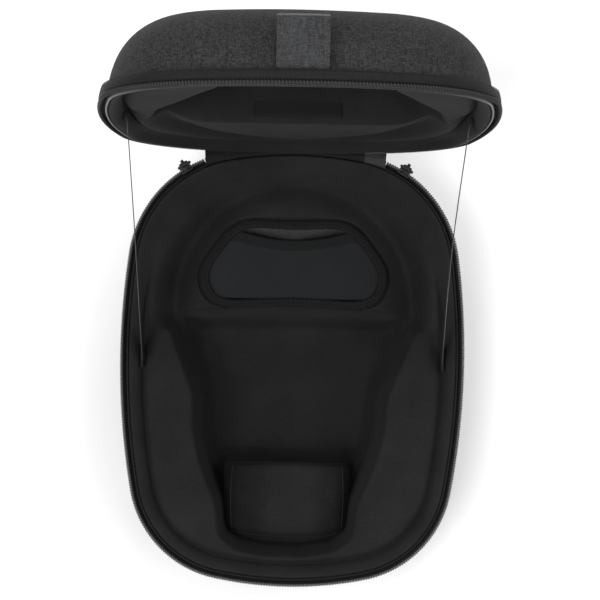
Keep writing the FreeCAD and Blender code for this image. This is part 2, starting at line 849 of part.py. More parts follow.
def pull_tab(side, axis, place):
    """Moulded tab on the link's lower bar, a little wider at its free end."""
    body = new_body(f"pull_tab_{side}")
    sketch = new_sketch(body, f"-({axis}) - {term('pull_thick')} / 2", "XZ_Plane")
    top = f"-{term('link_long')} - {term('pin_diameter')} / 2"
    foot = f"{top} - {term('pull_long')}"
    half = f"{term('pull_wide')} / 2"
    draw_polygon(sketch, mirrored([(f"{half} - {term('pull_narrowing')}", top), (half, foot)]))
    pad(body, sketch, term("pull_thick"), down=False)
    round_edges(body, runs_along_y, term("pull_round"))
    finish(body, place)


# ---------------------------------------------------------------- the whole case

def half_case(half, placement):
    """The pieces that both halves have."""
    skin_inner = f"{term('skin_inset')} + {term('skin_thick')}"
    shell(f"{half}_shell", f"{half}_depth", f"{half}_edge_radius", placement)
    skin(f"{half}_fabric", f"{half}_depth", f"{half}_edge_radius", placement)
    rim_ring(
        f"{half}_zip_band", term("band_inset"), term("ledge_inset"),
        term("coil_foot"), term("band_foot"), placement)
    rim_ring(
        f"{half}_zip_coil", "0", term("coil_width"), term("coil_top"), term("coil_foot"), placement)
    rim_ring(
        f"{half}_welt", term("welt_inset"), skin_inner, term("welt_top"), term("ledge_top"),
        placement)
    facing(f"{half}_rim_facing", placement)
    insert(f"{half}_insert", half, placement, with_pocket=half == "base")
    hinge_leaf(f"hinge_leaf_{half}", placement)
    stay_tabs(half, placement)
    zip_stops(half, placement)


def check():
    """Stops if any object failed or any finished piece is null or invalid."""
    doc.recompute()
    for item in doc.Objects:
        if "Invalid" in item.State or "Error" in item.State:
            raise ValueError(f"{item.Label}: {item.State}")
    for item in finished:
        if item.Shape.isNull() or not item.Shape.isValid():
            raise ValueError(f"{item.Label}: bad shape")


def export():
    os.makedirs("parts", exist_ok=True)
    for item in finished:
        item.Shape.exportStep(os.path.join("parts", f"{item.Label}.step"))
        box = item.Shape.BoundBox
        print(f"{item.Label:24s} {len(item.Shape.Solids)} solid(s) {item.Shape.Volume / 1000:8.2f} cm3"
              f"  {box.XLength:6.1f} x {box.YLength:6.1f} x {box.ZLength:6.1f}")


def main():
    fill_sheet()
    half_case("base", base_place())
    half_case("lid", lid_place())
    pouch(base_place())
    binding(base_place())
    flap(base_place())
    bolster(base_place())
    lid_stays()
    carry_loop(lid_place())
    lid_label(lid_place())
    for side, sign in (("right", 1), ("left", -1)):
        slider(side, sign * size("slider_turn"))
        pull(side, sign * size("slider_turn"))
    check()
    export()


main()
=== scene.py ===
import json
import math

import bmesh
import bpy
import numpy as np
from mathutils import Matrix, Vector


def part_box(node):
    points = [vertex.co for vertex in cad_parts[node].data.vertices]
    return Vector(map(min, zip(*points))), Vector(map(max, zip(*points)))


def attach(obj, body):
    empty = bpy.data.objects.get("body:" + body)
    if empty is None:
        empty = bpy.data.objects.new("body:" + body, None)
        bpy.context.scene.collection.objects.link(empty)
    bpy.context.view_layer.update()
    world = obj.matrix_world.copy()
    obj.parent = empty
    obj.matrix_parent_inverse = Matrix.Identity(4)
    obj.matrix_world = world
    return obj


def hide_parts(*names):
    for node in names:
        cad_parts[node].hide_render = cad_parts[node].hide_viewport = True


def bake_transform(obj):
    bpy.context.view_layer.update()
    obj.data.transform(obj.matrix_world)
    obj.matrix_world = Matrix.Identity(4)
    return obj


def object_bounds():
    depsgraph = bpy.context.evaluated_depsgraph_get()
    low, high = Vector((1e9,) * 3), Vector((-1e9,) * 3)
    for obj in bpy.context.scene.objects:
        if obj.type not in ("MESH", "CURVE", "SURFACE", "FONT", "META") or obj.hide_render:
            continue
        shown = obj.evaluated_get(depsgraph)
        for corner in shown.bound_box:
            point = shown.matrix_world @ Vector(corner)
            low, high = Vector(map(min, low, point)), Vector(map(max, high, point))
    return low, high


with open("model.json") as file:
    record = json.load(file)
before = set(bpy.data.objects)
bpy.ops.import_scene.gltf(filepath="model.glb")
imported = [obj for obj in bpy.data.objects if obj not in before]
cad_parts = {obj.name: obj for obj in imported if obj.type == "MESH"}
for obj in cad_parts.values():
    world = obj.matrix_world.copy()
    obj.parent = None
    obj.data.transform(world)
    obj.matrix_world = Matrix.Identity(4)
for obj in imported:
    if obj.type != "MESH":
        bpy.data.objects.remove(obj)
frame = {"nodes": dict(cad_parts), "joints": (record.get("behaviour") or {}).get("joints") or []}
CAD_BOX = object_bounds()

# Looks for a hard headphone case, open at a right angle.  Lengths are millimetres until a mesh is made.
# Each half is drawn about its own parting plane at height 0, with its depth going down.  An inset is a
# distance inwards from the rim's outermost line.

MM = 0.001
UP = np.array([0, 0, 1.0])
# One seed for each wave of unevenness.
SEED = {"lid_cover": 3, "welt": 11, "facing": 21, "lining": 31, "lining_fine": 32, "pocket_trim": 41,
        "pocket_panel": 42, "pocket_lining": 43, "hinge_strip": 51}

# ---- sizes read from the frame

HINGE = next(j for j in frame["joints"] if j["name"] == "lid_hinge")
HINGE_Y = HINGE["pos_m"][1] / MM
PARTING = HINGE["pos_m"][2] / MM


def low_high(node):
    """Corners of a CAD node's box."""
    low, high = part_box(node)
    return np.array(low) / MM, np.array(high) / MM


COIL_LOW, COIL_HIGH = low_high("base_zip_coil")
HALF_WIDTH = COIL_HIGH[0]
HALF_LENGTH = -COIL_LOW[1]
DEPTH = {"base": PARTING - low_high("base_fabric")[0][2], "lid": low_high("lid_fabric")[1][1] - HINGE_Y}

# ---- the rim

BACK_R, BACK_CORNER_R, SIDE_R, FRONT_CORNER_R, FRONT_R = 222.0, 73.0, 460.0, 66.0, 226.0
WIDEST_Y = 6.0
NOTCH = 56.2  # half the width that the zip leaves out at the hinge


def nested_centre(a, reach_a, b, reach_b):
    """The +X point at given distances from two others."""
    across = b - a
    gap = np.linalg.norm(across)
    along = (reach_a**2 - reach_b**2 + gap**2) / (2 * gap)
    rise = math.sqrt(reach_a**2 - along**2)
    unit = across / gap
    side = np.array([-unit[1], unit[0]])
    return max((a + unit * along + side * rise * s for s in (1, -1)), key=lambda p: p[0])


def rim_arcs():
    """Centres, radii and first normal angles of the arcs down the +X side, from the back to the front."""
    back = np.array([0, HALF_LENGTH - BACK_R])
    side = np.array([HALF_WIDTH - SIDE_R, WIDEST_Y])
    front = np.array([0, FRONT_R - HALF_LENGTH])
    corner_b = nested_centre(back, BACK_R - BACK_CORNER_R, side, SIDE_R - BACK_CORNER_R)
    corner_f = nested_centre(front, FRONT_R - FRONT_CORNER_R, side, SIDE_R - FRONT_CORNER_R)
    aims = [corner_b - back, corner_b - side, corner_f - side, corner_f - front]
    turns = [math.pi / 2] + [math.atan2(a[1], a[0]) for a in aims] + [-math.pi / 2]
    centres = np.array([back, corner_b, side, corner_f, front])
    radii = np.array([BACK_R, BACK_CORNER_R, SIDE_R, FRONT_CORNER_R, FRONT_R])
    return centres, radii, np.array(turns)


ARC_CENTRES, ARC_RADII, ARC_TURNS = rim_arcs()
ARC_STATIONS = np.concatenate([[0], np.cumsum(ARC_RADII * -np.diff(ARC_TURNS))])
RIM_LENGTH = 2 * ARC_STATIONS[-1]


def rim(share, inset=0.0):
    """Points and outward normals on the rim: share 0 is the middle of the back, 0.25 on the +X side."""
    share = np.asarray(share, float) % 1.0
    along = np.minimum(share, 1 - share) * RIM_LENGTH
    side = np.where(share <= 0.5, 1.0, -1.0)
    angle = np.interp(along, ARC_STATIONS, ARC_TURNS)
    arc = np.clip(np.searchsorted(ARC_STATIONS, along, side="right") - 1, 0, 4)
    normal = np.stack([np.cos(angle), np.sin(angle)], -1)
    point = ARC_CENTRES[arc] + (ARC_RADII[arc] - inset)[:, None] * normal
    flip = np.stack([side, np.ones_like(side)], -1)
    return point * flip, normal * flip


def ring_shares(count):
    """Shares all the way round the rim."""
    return np.arange(count) / count


def open_shares(count, half=NOTCH):
    """Shares along the rim that leave out the hinge, where |x| is under half."""
    trial = np.linspace(0, 0.2, 400)
    first = np.interp(half, rim(trial)[0][:, 0], trial)
    return np.linspace(first, 1 - first, count)


def rim_sweep(profile, share):
    """Grid of local points: along the rim, then round the profile of (inset, depth) pairs."""
    profile = np.asarray(profile, float)
    if profile.ndim == 2:
        profile = np.repeat(profile[None], len(share), 0)
    point, normal = rim(share)
    xy = point[:, None] - profile[..., :1] * normal[:, None]
    return np.concatenate([xy, -profile[..., 1:]], -1)


RIM_TABLE = rim(ring_shares(1600))[0]


def nearest(table, x, y):
    """Distance from places to the closest of a table of points."""
    flat = np.stack([np.ravel(x), np.ravel(y)], -1)
    parts = np.split(flat, range(4000, len(flat), 4000))
    found = [np.sqrt(((part[:, None] - table) ** 2).sum(-1)).min(1) for part in parts]
    return np.concatenate(found).reshape(np.shape(x))


# ---- small shape tools

def smoothstep(low, high, x):
    """From 0 to 1, eased at both ends."""
    t = np.clip((np.asarray(x, float) - low) / (high - low), 0, 1)
    return t * t * (3 - 2 * t)


def soften(points, times=2, closed=False):
    """Cuts the corners of a line of points, over and over."""
    p = np.asarray(points, float)
    for _ in range(times):
        q = np.concatenate([p, p[:1]]) if closed else p
        a, b = q[:-1] * 0.75 + q[1:] * 0.25, q[:-1] * 0.25 + q[1:] * 0.75
        mixed = np.stack([a, b], 1).reshape(-1, *p.shape[1:])
        p = mixed if closed else np.concatenate([q[:1], mixed[1:-1], q[-1:]])
    return p


def mirrored(half_line, axis=0):
    """A line and its own reflection, run back to where it began."""
    half_line = np.array(half_line, float)
    flip = np.where(np.arange(2) == axis, -1, 1)
    return np.concatenate([half_line, (half_line * flip)[::-1]])


def spaced(points, count, closed=False):
    """Points evenly spaced along a line."""
    p = np.asarray(points, float)
    if closed:
        p = np.concatenate([p, p[:1]])
    step = np.linalg.norm(np.diff(p, axis=0), axis=1)
    station = np.concatenate([[0], np.cumsum(step)])
    want = np.linspace(0, station[-1], count, endpoint=not closed)
    return np.stack([np.interp(want, station, p[:, k]) for k in range(p.shape[1])], -1)


WAVES = 6


def wave(name, points, scale, strength):
    """A gentle unevenness: a few seeded sine waves over space."""
    rng = np.random.default_rng(SEED[name])
    total = np.zeros(points.shape[:-1])
    for _ in range(WAVES):
        direction = rng.normal(size=points.shape[-1])
        direction /= np.linalg.norm(direction)
        size = scale * rng.uniform(0.6, 1.6)
        total += np.sin(points @ direction * 2 * math.pi / size + rng.uniform(0, 6.28))
    return total * strength / WAVES


def stations(grid):
    """Mean distance travelled along a grid's first axis."""
    step = np.linalg.norm(np.diff(grid, axis=0), axis=-1).mean(1)
    return np.concatenate([[0], np.cumsum(step)])


def surface(grid, wrap_a=False, wrap_b=False, cap=False):
    """(points, quads, uv) of a grid of points.  The uv is in metres along both directions."""
    a, b = grid.shape[:2]
    full = np.concatenate([grid, grid[:1]]) if wrap_a else grid
    turned = np.swapaxes(grid, 0, 1)
    turned = np.concatenate([turned, turned[:1]]) if wrap_b else turned
    u, v = stations(full), stations(turned)
    i, j = np.meshgrid(np.arange(a if wrap_a else a - 1), np.arange(b if wrap_b else b - 1), indexing="ij")
    i, j = i.ravel(), j.ravel()
    ni, nj = (i + 1) % a, (j + 1) % b
    quads = np.stack([i * b + j, ni * b + j, ni * b + nj, i * b + nj], -1)
    uv = np.stack([np.stack([u[i], v[j]], -1), np.stack([u[i + 1], v[j]], -1),
                   np.stack([u[i + 1], v[j + 1]], -1), np.stack([u[i], v[j + 1]], -1)], 1)
    points = grid.reshape(-1, 3)
    if cap:
        k = np.arange(b // 2 - 1)
        first = np.stack([k, k + 1, b - 2 - k, b - 1 - k], -1)
        caps = np.concatenate([first, (first + (a - 1) * b)[:, ::-1]])
        quads = np.concatenate([quads, caps])
        uv = np.concatenate([uv, points[caps][..., :2]])
    return points, quads, uv * MM


def strip(grid, closed=False):
    """Geometry of a section carried along a line, its ends closed."""
    return surface(grid, wrap_a=closed, wrap_b=True, cap=not closed)


def merged(parts):
    """One geometry from several."""
    start, points, quads, uvs = 0, [], [], []
    for p, q, uv in parts:
        points.append(p)
        quads.append(q + start)
        uvs.append(uv)
        start += len(p)
    return np.concatenate(points), np.concatenate(quads), np.concatenate(uvs)


def oval(width, thick, count=12, power=2.6):
    """Closed outline of a flat rounded section: pairs across its width and its thickness."""
    angle = (np.arange(count) + 0.5) / count * 2 * math.pi
    c, s = np.cos(angle), np.sin(angle)
    return np.stack([np.sign(c) * np.abs(c) ** (2 / power) * width / 2,
                     np.sign(s) * np.abs(s) ** (2 / power) * thick / 2], -1)


def along_path(path, across, section, closed=False):
    """Grid that carries a section along a path.  across is the direction of the section's width."""
    path = np.asarray(path, float)
    across = np.broadcast_to(np.asarray(across, float), path.shape)
    if closed:
        tangent = np.roll(path, -1, 0) - np.roll(path, 1, 0)
    else:
        tangent = np.gradient(path, axis=0)
    tangent = tangent / np.linalg.norm(tangent, axis=1, keepdims=True)
    across = across - (across * tangent).sum(1, keepdims=True) * tangent
    across = across / np.linalg.norm(across, axis=1, keepdims=True)
    up = np.cross(tangent, across)
    section = np.asarray(section, float)
    if section.ndim == 2:
        section = np.repeat(section[None], len(path), 0)
    return path[:, None] + section[..., :1] * across[:, None] + section[..., 1:] * up[:, None]


def spokes(hub, angles, far):
    """Points out from a hub, at one or more distances for each direction."""
    aim = np.stack([np.cos(angles), np.sin(angles)], -1)
    return hub + far[..., None] * (aim[:, None] if far.ndim == 2 else aim)


def band(path, across, width, thick, closed=False, count=12):
    """A flat strip with rounded edges along a path."""
    grid = along_path(path, across, oval(width, thick, count), closed)
    return strip(grid, closed)


def wire(path, radius, closed=False, across=(0, 0, 1), count=8):
    """A round strand along a path."""
    grid = along_path(path, across, oval(2 * radius, 2 * radius, count, 2), closed)
    return strip(grid, closed)


STITCH_LIFT = np.array([-0.9, 0.35, 0.6, 0.35, -0.9])[:, None]
STITCH_TAPER = np.array([0.55, 0.9, 1, 0.9, 0.55])[:, None, None]
STITCH_STEPS = 8


def stitches(path, up, pitch=2.6, share=0.72, radius=0.22, closed=False):
    """A row of short threads along a path, each dipping into the cloth at its ends."""
    path, up = np.asarray(path, float), np.asarray(up, float)
    if closed:
        path = np.concatenate([path, path[:1]])
    length = np.linalg.norm(np.diff(path, axis=0), axis=1).sum()
    count = max(2, int(length / pitch))
    dense = spaced(path, count * STITCH_STEPS + 1)
    thread = oval(2 * radius, 1.5 * radius, 6, 2) * STITCH_TAPER
    parts = []
    for k in range(count):
        at = (k + np.linspace(0, share, len(STITCH_LIFT))) * STITCH_STEPS
        line = np.stack([np.interp(at, np.arange(len(dense)), dense[:, c]) for c in range(3)], -1)
        grid = along_path(line + STITCH_LIFT * radius * up, np.cross(up, line[-1] - line[0]), thread)
        parts.append(strip(grid))
    return merged(parts)


# ---- from geometry to pieces

def placed(points, half):
    """Local points of a half, or points in the case's own frame, to world metres."""
    x, y, z = np.moveaxis(np.asarray(points, float), -1, 0)
    if half == "base":
        world = (x, y, z + PARTING)
    elif half == "lid":
        world = (-x, HINGE_Y - z, PARTING + HINGE_Y - y)
    else:
        world = (x, y, z)
    return np.stack(world, -1) * MM


def make_mesh(name, points, quads, uv):
    """A smooth mesh of quads, its points in metres."""
    mesh = bpy.data.meshes.new(name)
    mesh.vertices.add(len(points))
    mesh.vertices.foreach_set("co", points.astype(np.float32).ravel())
    mesh.loops.add(quads.size)
    mesh.loops.foreach_set("vertex_index", quads.astype(np.int32).ravel())
    mesh.polygons.add(len(quads))
    mesh.polygons.foreach_set("loop_start", np.arange(0, quads.size, 4, dtype=np.int32))
    mesh.polygons.foreach_set("use_smooth", np.ones(len(quads), bool))
    mesh.uv_layers.new(name="UVMap").data.foreach_set("uv", uv.astype(np.float32).ravel())
    mesh.update(calc_edges=True)
    mesh.validate()
    return mesh


def face_outwards(mesh, towards=None):
    """Turns a closed mesh's faces outwards, or an open one's to a direction.

    The direction (0, 0, 0) stands for away from the mesh's own middle.
    """
    work = bmesh.new()
    work.from_mesh(mesh)
    if towards is None:
        bmesh.ops.recalc_face_normals(work, faces=work.faces)
    else:
        middle = Vector(np.mean([v.co for v in work.verts], 0))
        total = 0.0
        for face in work.faces:
            aim = Vector(towards) if any(towards) else face.calc_center_median() - middle
            total += face.normal.dot(aim) * face.calc_area()
        if total < 0:
            bmesh.ops.reverse_faces(work, faces=work.faces)
    work.to_mesh(mesh)
    work.free()


def in_scene(name, data):
    """A new object of the scene."""
    item = bpy.data.objects.new(name, data)
    bpy.context.scene.collection.objects.link(item)
    return item


def piece(name, geometry, material, half="base", body=None, stands_for=(), towards=None):
    """One visible piece, in a half's own axes or the world's, on its body and in place of its CAD nodes."""
    points, quads, uv = geometry
    mesh = make_mesh(name, placed(points, half), quads, uv)
    face_outwards(mesh, towards)
    mesh.materials.append(material)
    item = in_scene(name, mesh)
    if body != "free":
        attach(item, body or half)
    if stands_for:
        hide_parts(*stands_for)
    return item


def bake_modifiers(item):
    """Puts the result of an object's modifiers into its mesh."""
    graph = bpy.context.evaluated_depsgraph_get()
    mesh = bpy.data.meshes.new_from_object(item.evaluated_get(graph))
    item.modifiers.clear()
    item.data = mesh


def weld(item):
    """Joins a mesh's doubled points."""
    work = bmesh.new()
    work.from_mesh(item.data)
    bmesh.ops.remove_doubles(work, verts=work.verts, dist=1e-6)
    work.to_mesh(item.data)
    work.free()


def paint(item, material, chosen):
    """Gives a second material to the faces whose middle, in millimetres, is chosen."""
    item.data.materials.append(material)
    for face in item.data.polygons:
        face.material_index = int(chosen(*(face.center / MM)))


def thicken(item, thickness, offset=-1.0):
    """Gives a sheet its thickness."""
    solid = item.modifiers.new("thickness", "SOLIDIFY")
    solid.thickness = thickness * MM
    solid.offset = offset
    bake_modifiers(item)


# ---- materials

def socket(tree, value, target):
    """Links an output to an input, or sets the input to a plain value."""
    if isinstance(value, bpy.types.NodeSocket):
        tree.links.new(value, target)
    else:
        target.default_value = value


def add(tree, kind, inputs=(), **settings):
    """A new node with its settings and its inputs, by number or name."""
    node = tree.nodes.new(kind)
    for name, value in settings.items():
        setattr(node, name, value)
    pairs = inputs.items() if isinstance(inputs, dict) else enumerate(inputs)
    for key, value in pairs:
        socket(tree, value, node.inputs[key])
    return node


def maths(tree, operation, *values):
    """Output of a maths node."""
    return add(tree, "ShaderNodeMath", values, operation=operation).outputs[0]


def plus(tree, a, b):
    """Output of a sum."""
    return maths(tree, "ADD", a, b)


def times(tree, a, b):
    """Output of a product."""
    return maths(tree, "MULTIPLY", a, b)


def mixed(tree, share, a, b):
    """A colour between two, given as linear greys with their tints."""
    inputs = {0: share, 6: (*grey(*a), 1), 7: (*grey(*b), 1)}
    return add(tree, "ShaderNodeMix", inputs, data_type="RGBA").outputs[2]


def noise(tree, where, scale, detail=2.0, rough=0.5):
    """Soft grain, its scale the number of features to a metre."""
    inputs = {"Vector": where, "Scale": scale, "Detail": detail, "Roughness": rough}
    return add(tree, "ShaderNodeTexNoise", inputs).outputs[0]


def remap(tree, value, *limits):
    """A value from one range, the first two limits, to another, the last two."""
    return add(tree, "ShaderNodeMapRange", (value, *limits)).outputs[0]


def new_material(name):
    """A material with its tree, its shader and a place in the object's own metres."""
    material = bpy.data.materials.new(name)
    material.use_nodes = True
    tree = material.node_tree
    tree.nodes.clear()
    shader = tree.nodes.new("ShaderNodeBsdfPrincipled")
    output = tree.nodes.new("ShaderNodeOutputMaterial")
    tree.links.new(shader.outputs[0], output.inputs[0])
    where = add(tree, "ShaderNodeTexCoord").outputs["Object"]
    return material, tree, shader, where


def grey(level, tint=0.0):
    """A grey of this linear level, a little blue where tint is above zero."""
    return (level * (1 - tint), level, level * (1 + 2 * tint))


def threads(tree, pitch, lean, ratio):
    """Woven threads over the uv: their height, where the warp is on top, and each set's numbers and run."""
    where = add(tree, "ShaderNodeUVMap", uv_map="UVMap").outputs[0]
    split = add(tree, "ShaderNodeSeparateXYZ", [where])
    u = times(tree, split.outputs[0], 1 / (pitch * MM))
    v = times(tree, split.outputs[1], 1 / (pitch * ratio * MM))
    column, row = maths(tree, "FLOOR", u), maths(tree, "FLOOR", v)
    heights = []
    for across, along, number, side in ((u, v, column, 0.5), (v, u, row, -0.5)):
        bulge = maths(tree, "ABSOLUTE", maths(tree, "SINE", times(tree, across, math.pi)))
        turn = plus(tree, times(tree, along, math.pi * lean), times(tree, number, math.pi * lean))
        heights.append(times(tree, bulge, maths(tree, "MULTIPLY_ADD", maths(tree, "SINE", turn), side, 0.5)))
    top = maths(tree, "GREATER_THAN", *heights)
    return maths(tree, "MAXIMUM", *heights), top, (column, v), (row, u)


def yarn_shade(tree, number, along, run):
    """One value from 0 to 1 for each stretch of each yarn."""
    stretch = maths(tree, "FLOOR", times(tree, along, 1 / run))
    place = add(tree, "ShaderNodeCombineXYZ", [number, stretch]).outputs[0]
    return add(tree, "ShaderNodeTexWhiteNoise", {"Vector": place}, noise_dimensions="2D").outputs[0]


def set_shader(shader, rough, sheen, specular):
    """Constant finish, on the shader's own sockets."""
    finish = {"Roughness": rough, "Sheen Weight": sheen, "Sheen Roughness": 0.4,
              "Specular IOR Level": specular}
    for name, value in finish.items():
        shader.inputs[name].default_value = value


def bump(tree, shader, height, strength, distance):
    """Fine relief, its distance in millimetres."""
    node = add(tree, "ShaderNodeBump", {"Height": height, "Strength": strength, "Distance": distance * MM})
    tree.links.new(node.outputs[0], shader.inputs["Normal"])


WEFT_START = 991.0  # keeps the weft's shades apart from the warp's


def woven(name, levels, pitch, lean, run, depth, finish, ratio=1.0, tint=0.0):
    """Cloth of two shades of yarn, each changing shade in stretches, painted darker as shade between its
    threads.  A finish is rough, sheen, specular.
    """
    material, tree, shader, where = new_material(name)
    height, top, (column, v), (row, u) = threads(tree, pitch, lean, ratio)
    warp_shade = yarn_shade(tree, column, v, run)
    weft_shade = yarn_shade(tree, plus(tree, row, WEFT_START), u, run)
    below = maths(tree, "SUBTRACT", 1.0, top)
    shade = plus(tree, times(tree, top, warp_shade), times(tree, below, weft_shade))
    broad = maths(tree, "SUBTRACT", noise(tree, where, 60, 3), 0.5)
    share = plus(tree, shade, times(tree, broad, 0.3))
    colour = mixed(tree, share, *((level, tint) for level in levels))
    # Painted shade: the colour darkens in the valleys between threads.
    valley = remap(tree, height, 0.0, 0.7, 0.45, 1.0)
    scaled = add(tree, "ShaderNodeVectorMath", {0: colour, "Scale": valley}, operation="SCALE")
    tree.links.new(scaled.outputs[0], shader.inputs["Base Color"])
    bump(tree, shader, height, 0.8, depth)
    set_shader(shader, *finish)
    return material


def ribbed(tree, where, fine, share, pitch, flat, full):
    """Ribs across a piece, at full strength beyond one distance off its middle, with painted shade on its
    sides.
    """
    split = add(tree, "ShaderNodeSeparateXYZ", [where])
    off = maths(tree, "ABSOLUTE", split.outputs[0])
    line = maths(tree, "SINE", times(tree, split.outputs[1], 2 * math.pi / (pitch * MM)))
    line = times(tree, line, remap(tree, off, flat * MM, full * MM, 0.15, 1.0))
    height = plus(tree, times(tree, fine, 0.5), times(tree, line, 0.5))
    # Painted shade: rib crests lighter, hollows darker, and the sides darker away from the crowned middle.
    share = plus(tree, share, times(tree, line, 0.2))
    return height, maths(tree, "SUBTRACT", share, remap(tree, off, 0.012, 0.034, 0.0, 0.55))


def brushed(name, levels, grain, rough=0.95, depth=0.12, tint=0.0, ribs=None):
    """Fine knitted or brushed cloth: soft grain without a direction, and ribs across it where asked."""
    material, tree, shader, where = new_material(name)
    fine = noise(tree, where, 1 / (grain * MM), 2, 0.6)
    broad = noise(tree, where, 35, 3)
    share = plus(tree, times(tree, fine, 0.75), times(tree, broad, 0.4))
    share = remap(tree, share, 0.35, 0.85, 0.0, 1.0)
    height = fine
    if ribs:
        height, share = ribbed(tree, where, fine, share, *ribs)
    colour = mixed(tree, share, *((level, tint) for level in levels))
    tree.links.new(colour, shader.inputs["Base Color"])
    bump(tree, shader, height, 0.7, depth)
    set_shader(shader, rough, 0.02, 0.1)
    return material


def moulded(name, level, rough, grain, depth, specular, wear_and_glint=0.2):
    """Smooth moulded or cast stock with a little grain, and edges lighter: worn on most stock, a painted
    glint on the zip teeth.
    """
    material, tree, shader, where = new_material(name)
    fine = noise(tree, where, 1 / (grain * MM), 3, 0.6)
    broad = noise(tree, where, 120, 2)
    # Convex edges painted lighter: edge wear, and on the zip teeth, with a large share, a painted glint.
    rubbed_and_lit = remap(tree, add(tree, "ShaderNodeNewGeometry").outputs["Pointiness"], 0.5, 0.62, 0.0, 1.0)
    share = plus(tree, times(tree, broad, 0.5), times(tree, rubbed_and_lit, wear_and_glint * 2))
    tree.links.new(mixed(tree, share, (level,), (level * 1.9 + 0.01,)), shader.inputs["Base Color"])
    bump(tree, shader, fine, 0.4, depth)
    set_shader(shader, rough, 0.0, specular)
    spread = remap(tree, fine, 0.2, 0.8, rough * 0.85, min(1.0, rough * 1.2))
    tree.links.new(spread, shader.inputs["Roughness"])
    return material


# Woven: two linear greys, thread pitch, lean of the weave, length of one shade, relief, finish.
COVER = woven("cover_fabric", (0.009, 0.040), 0.46, 1.0, 3, 0.10, (0.85, 0.03, 0.12))
TAPE = woven("zip_tape", (0.0055, 0.011), 0.5, 0.5, 30, 0.08, (0.7, 0.02, 0.15))
# Two copies of the same piping: the matt one painted darker as shade, the satin one painted lighter as a
# highlight.
MATT_SHADED_WELT = woven("welt_matt_painted_shade", (0.0065, 0.0125), 0.3, 0.5, 40, 0.03, (0.6, 0.02, 0.12))
SATIN_LIT = woven("welt_satin_painted_highlight", (0.013, 0.024), 0.3, 0.5, 40, 0.03, (0.36, 0.03, 0.35))
HINGE_CLOTH = woven("hinge_fabric", (0.005, 0.010), 0.45, 0.5, 40, 0.06, (0.6, 0.01, 0.15))
# The hinge strip's satin end: glossier, and its colour painted lighter as a highlight.
HINGE_SATIN_LIT = woven("hinge_satin_painted_highlight", (0.016, 0.030), 0.35, 0.5, 40, 0.03, (0.4, 0.03, 0.35))
BINDING = woven("binding_tape", (0.0065, 0.011), 0.5, 1.0, 20, 0.07, (0.85, 0.02, 0.1))
RIBBON = woven("stay_webbing", (0.03, 0.06), 0.55, 1.0, 30, 0.08, (0.6, 0.05, 0.25))
TAB_CLOTH = woven("tab_cloth", (0.009, 0.018), 0.5, 1.0, 30, 0.08, (0.8, 0.02, 0.12))
WEBBING = woven("loop_webbing", (0.020, 0.056), 0.6, 1.0, 4, 0.12, (0.75, 0.03, 0.12), 0.6, 0.02)
# Lighter copy of the webbing: a painted highlight along the loop's fold.
LIT_FOLD = woven("fold_painted_highlight", (0.07, 0.15), 0.6, 1.0, 4, 0.12, (0.75, 0.03, 0.12), 0.6)
LABEL = woven("label_weave", (0.009, 0.013), 0.35, 1.0, 50, 0.03, (0.8, 0.0, 0.1))
POUCH_CLOTH = woven("pouch_cloth", (0.025, 0.049), 0.5, 1.0, 20, 0.06, (0.85, 0.02, 0.1))
# Brushed: two linear greys, grain, roughness, relief, tint.
LINING = brushed("lining", (0.0078, 0.0212), 0.55)
# The bolster's cloth, its sides and rib hollows painted darker as shade.
RIBBED = brushed("ribbed_lining", (0.0058, 0.0215), 0.5, ribs=(1.3, 20, 30))
HEM = brushed("neoprene_hem", (0.0085, 0.0125), 0.8, 0.88, 0.04, 0.02)
NEOPRENE = brushed("neoprene", (0.0118, 0.0170), 0.8, 0.88, 0.04, 0.035)
# Moulded: linear grey, roughness, grain, relief, specular, edge wear and painted glint.
# Both copies of the teeth lighten strongly at their edges: a painted glint on each tooth.
TEETH = moulded("zip_teeth", 0.0055, 0.42, 0.3, 0.01, 0.16, 0.8)
# The base's copy of the teeth: glossier, and its colour painted lighter as a highlight.
GLOSSY_LIT_TEETH = moulded("glossy_zip_teeth_painted_highlight", 0.022, 0.2, 0.3, 0.01, 0.6, 0.9)
THREAD = moulded("sewing_thread", 0.010, 0.75, 0.2, 0.01, 0.12)
PALE_THREAD = moulded("pale_thread", 0.030, 0.7, 0.2, 0.01, 0.15)
METAL = moulded("slider_metal", 0.006, 0.45, 0.25, 0.01, 0.2, 0.5)
RUBBER = moulded("pull_rubber", 0.011, 0.68, 0.4, 0.03, 0.2)
FOAM = moulded("moulded_foam", 0.012, 0.9, 0.6, 0.1, 0.15)

# ---- covers, zip bands, coils and piping

TAPER = math.radians(8)
SKIN = 4.5  # inset of the cover's wall at its top
BAND_FOOT = 7.5  # depth at which the cover comes out from under the tape
EDGE_R = {"base": 28.0, "lid": 34.0}
CROWN = {"base": 0.0, "lid": 2.2}
RIM_COUNT = 420
PLANAR_ROWS = 9  # rows of the rounded edge that take the floor's uv


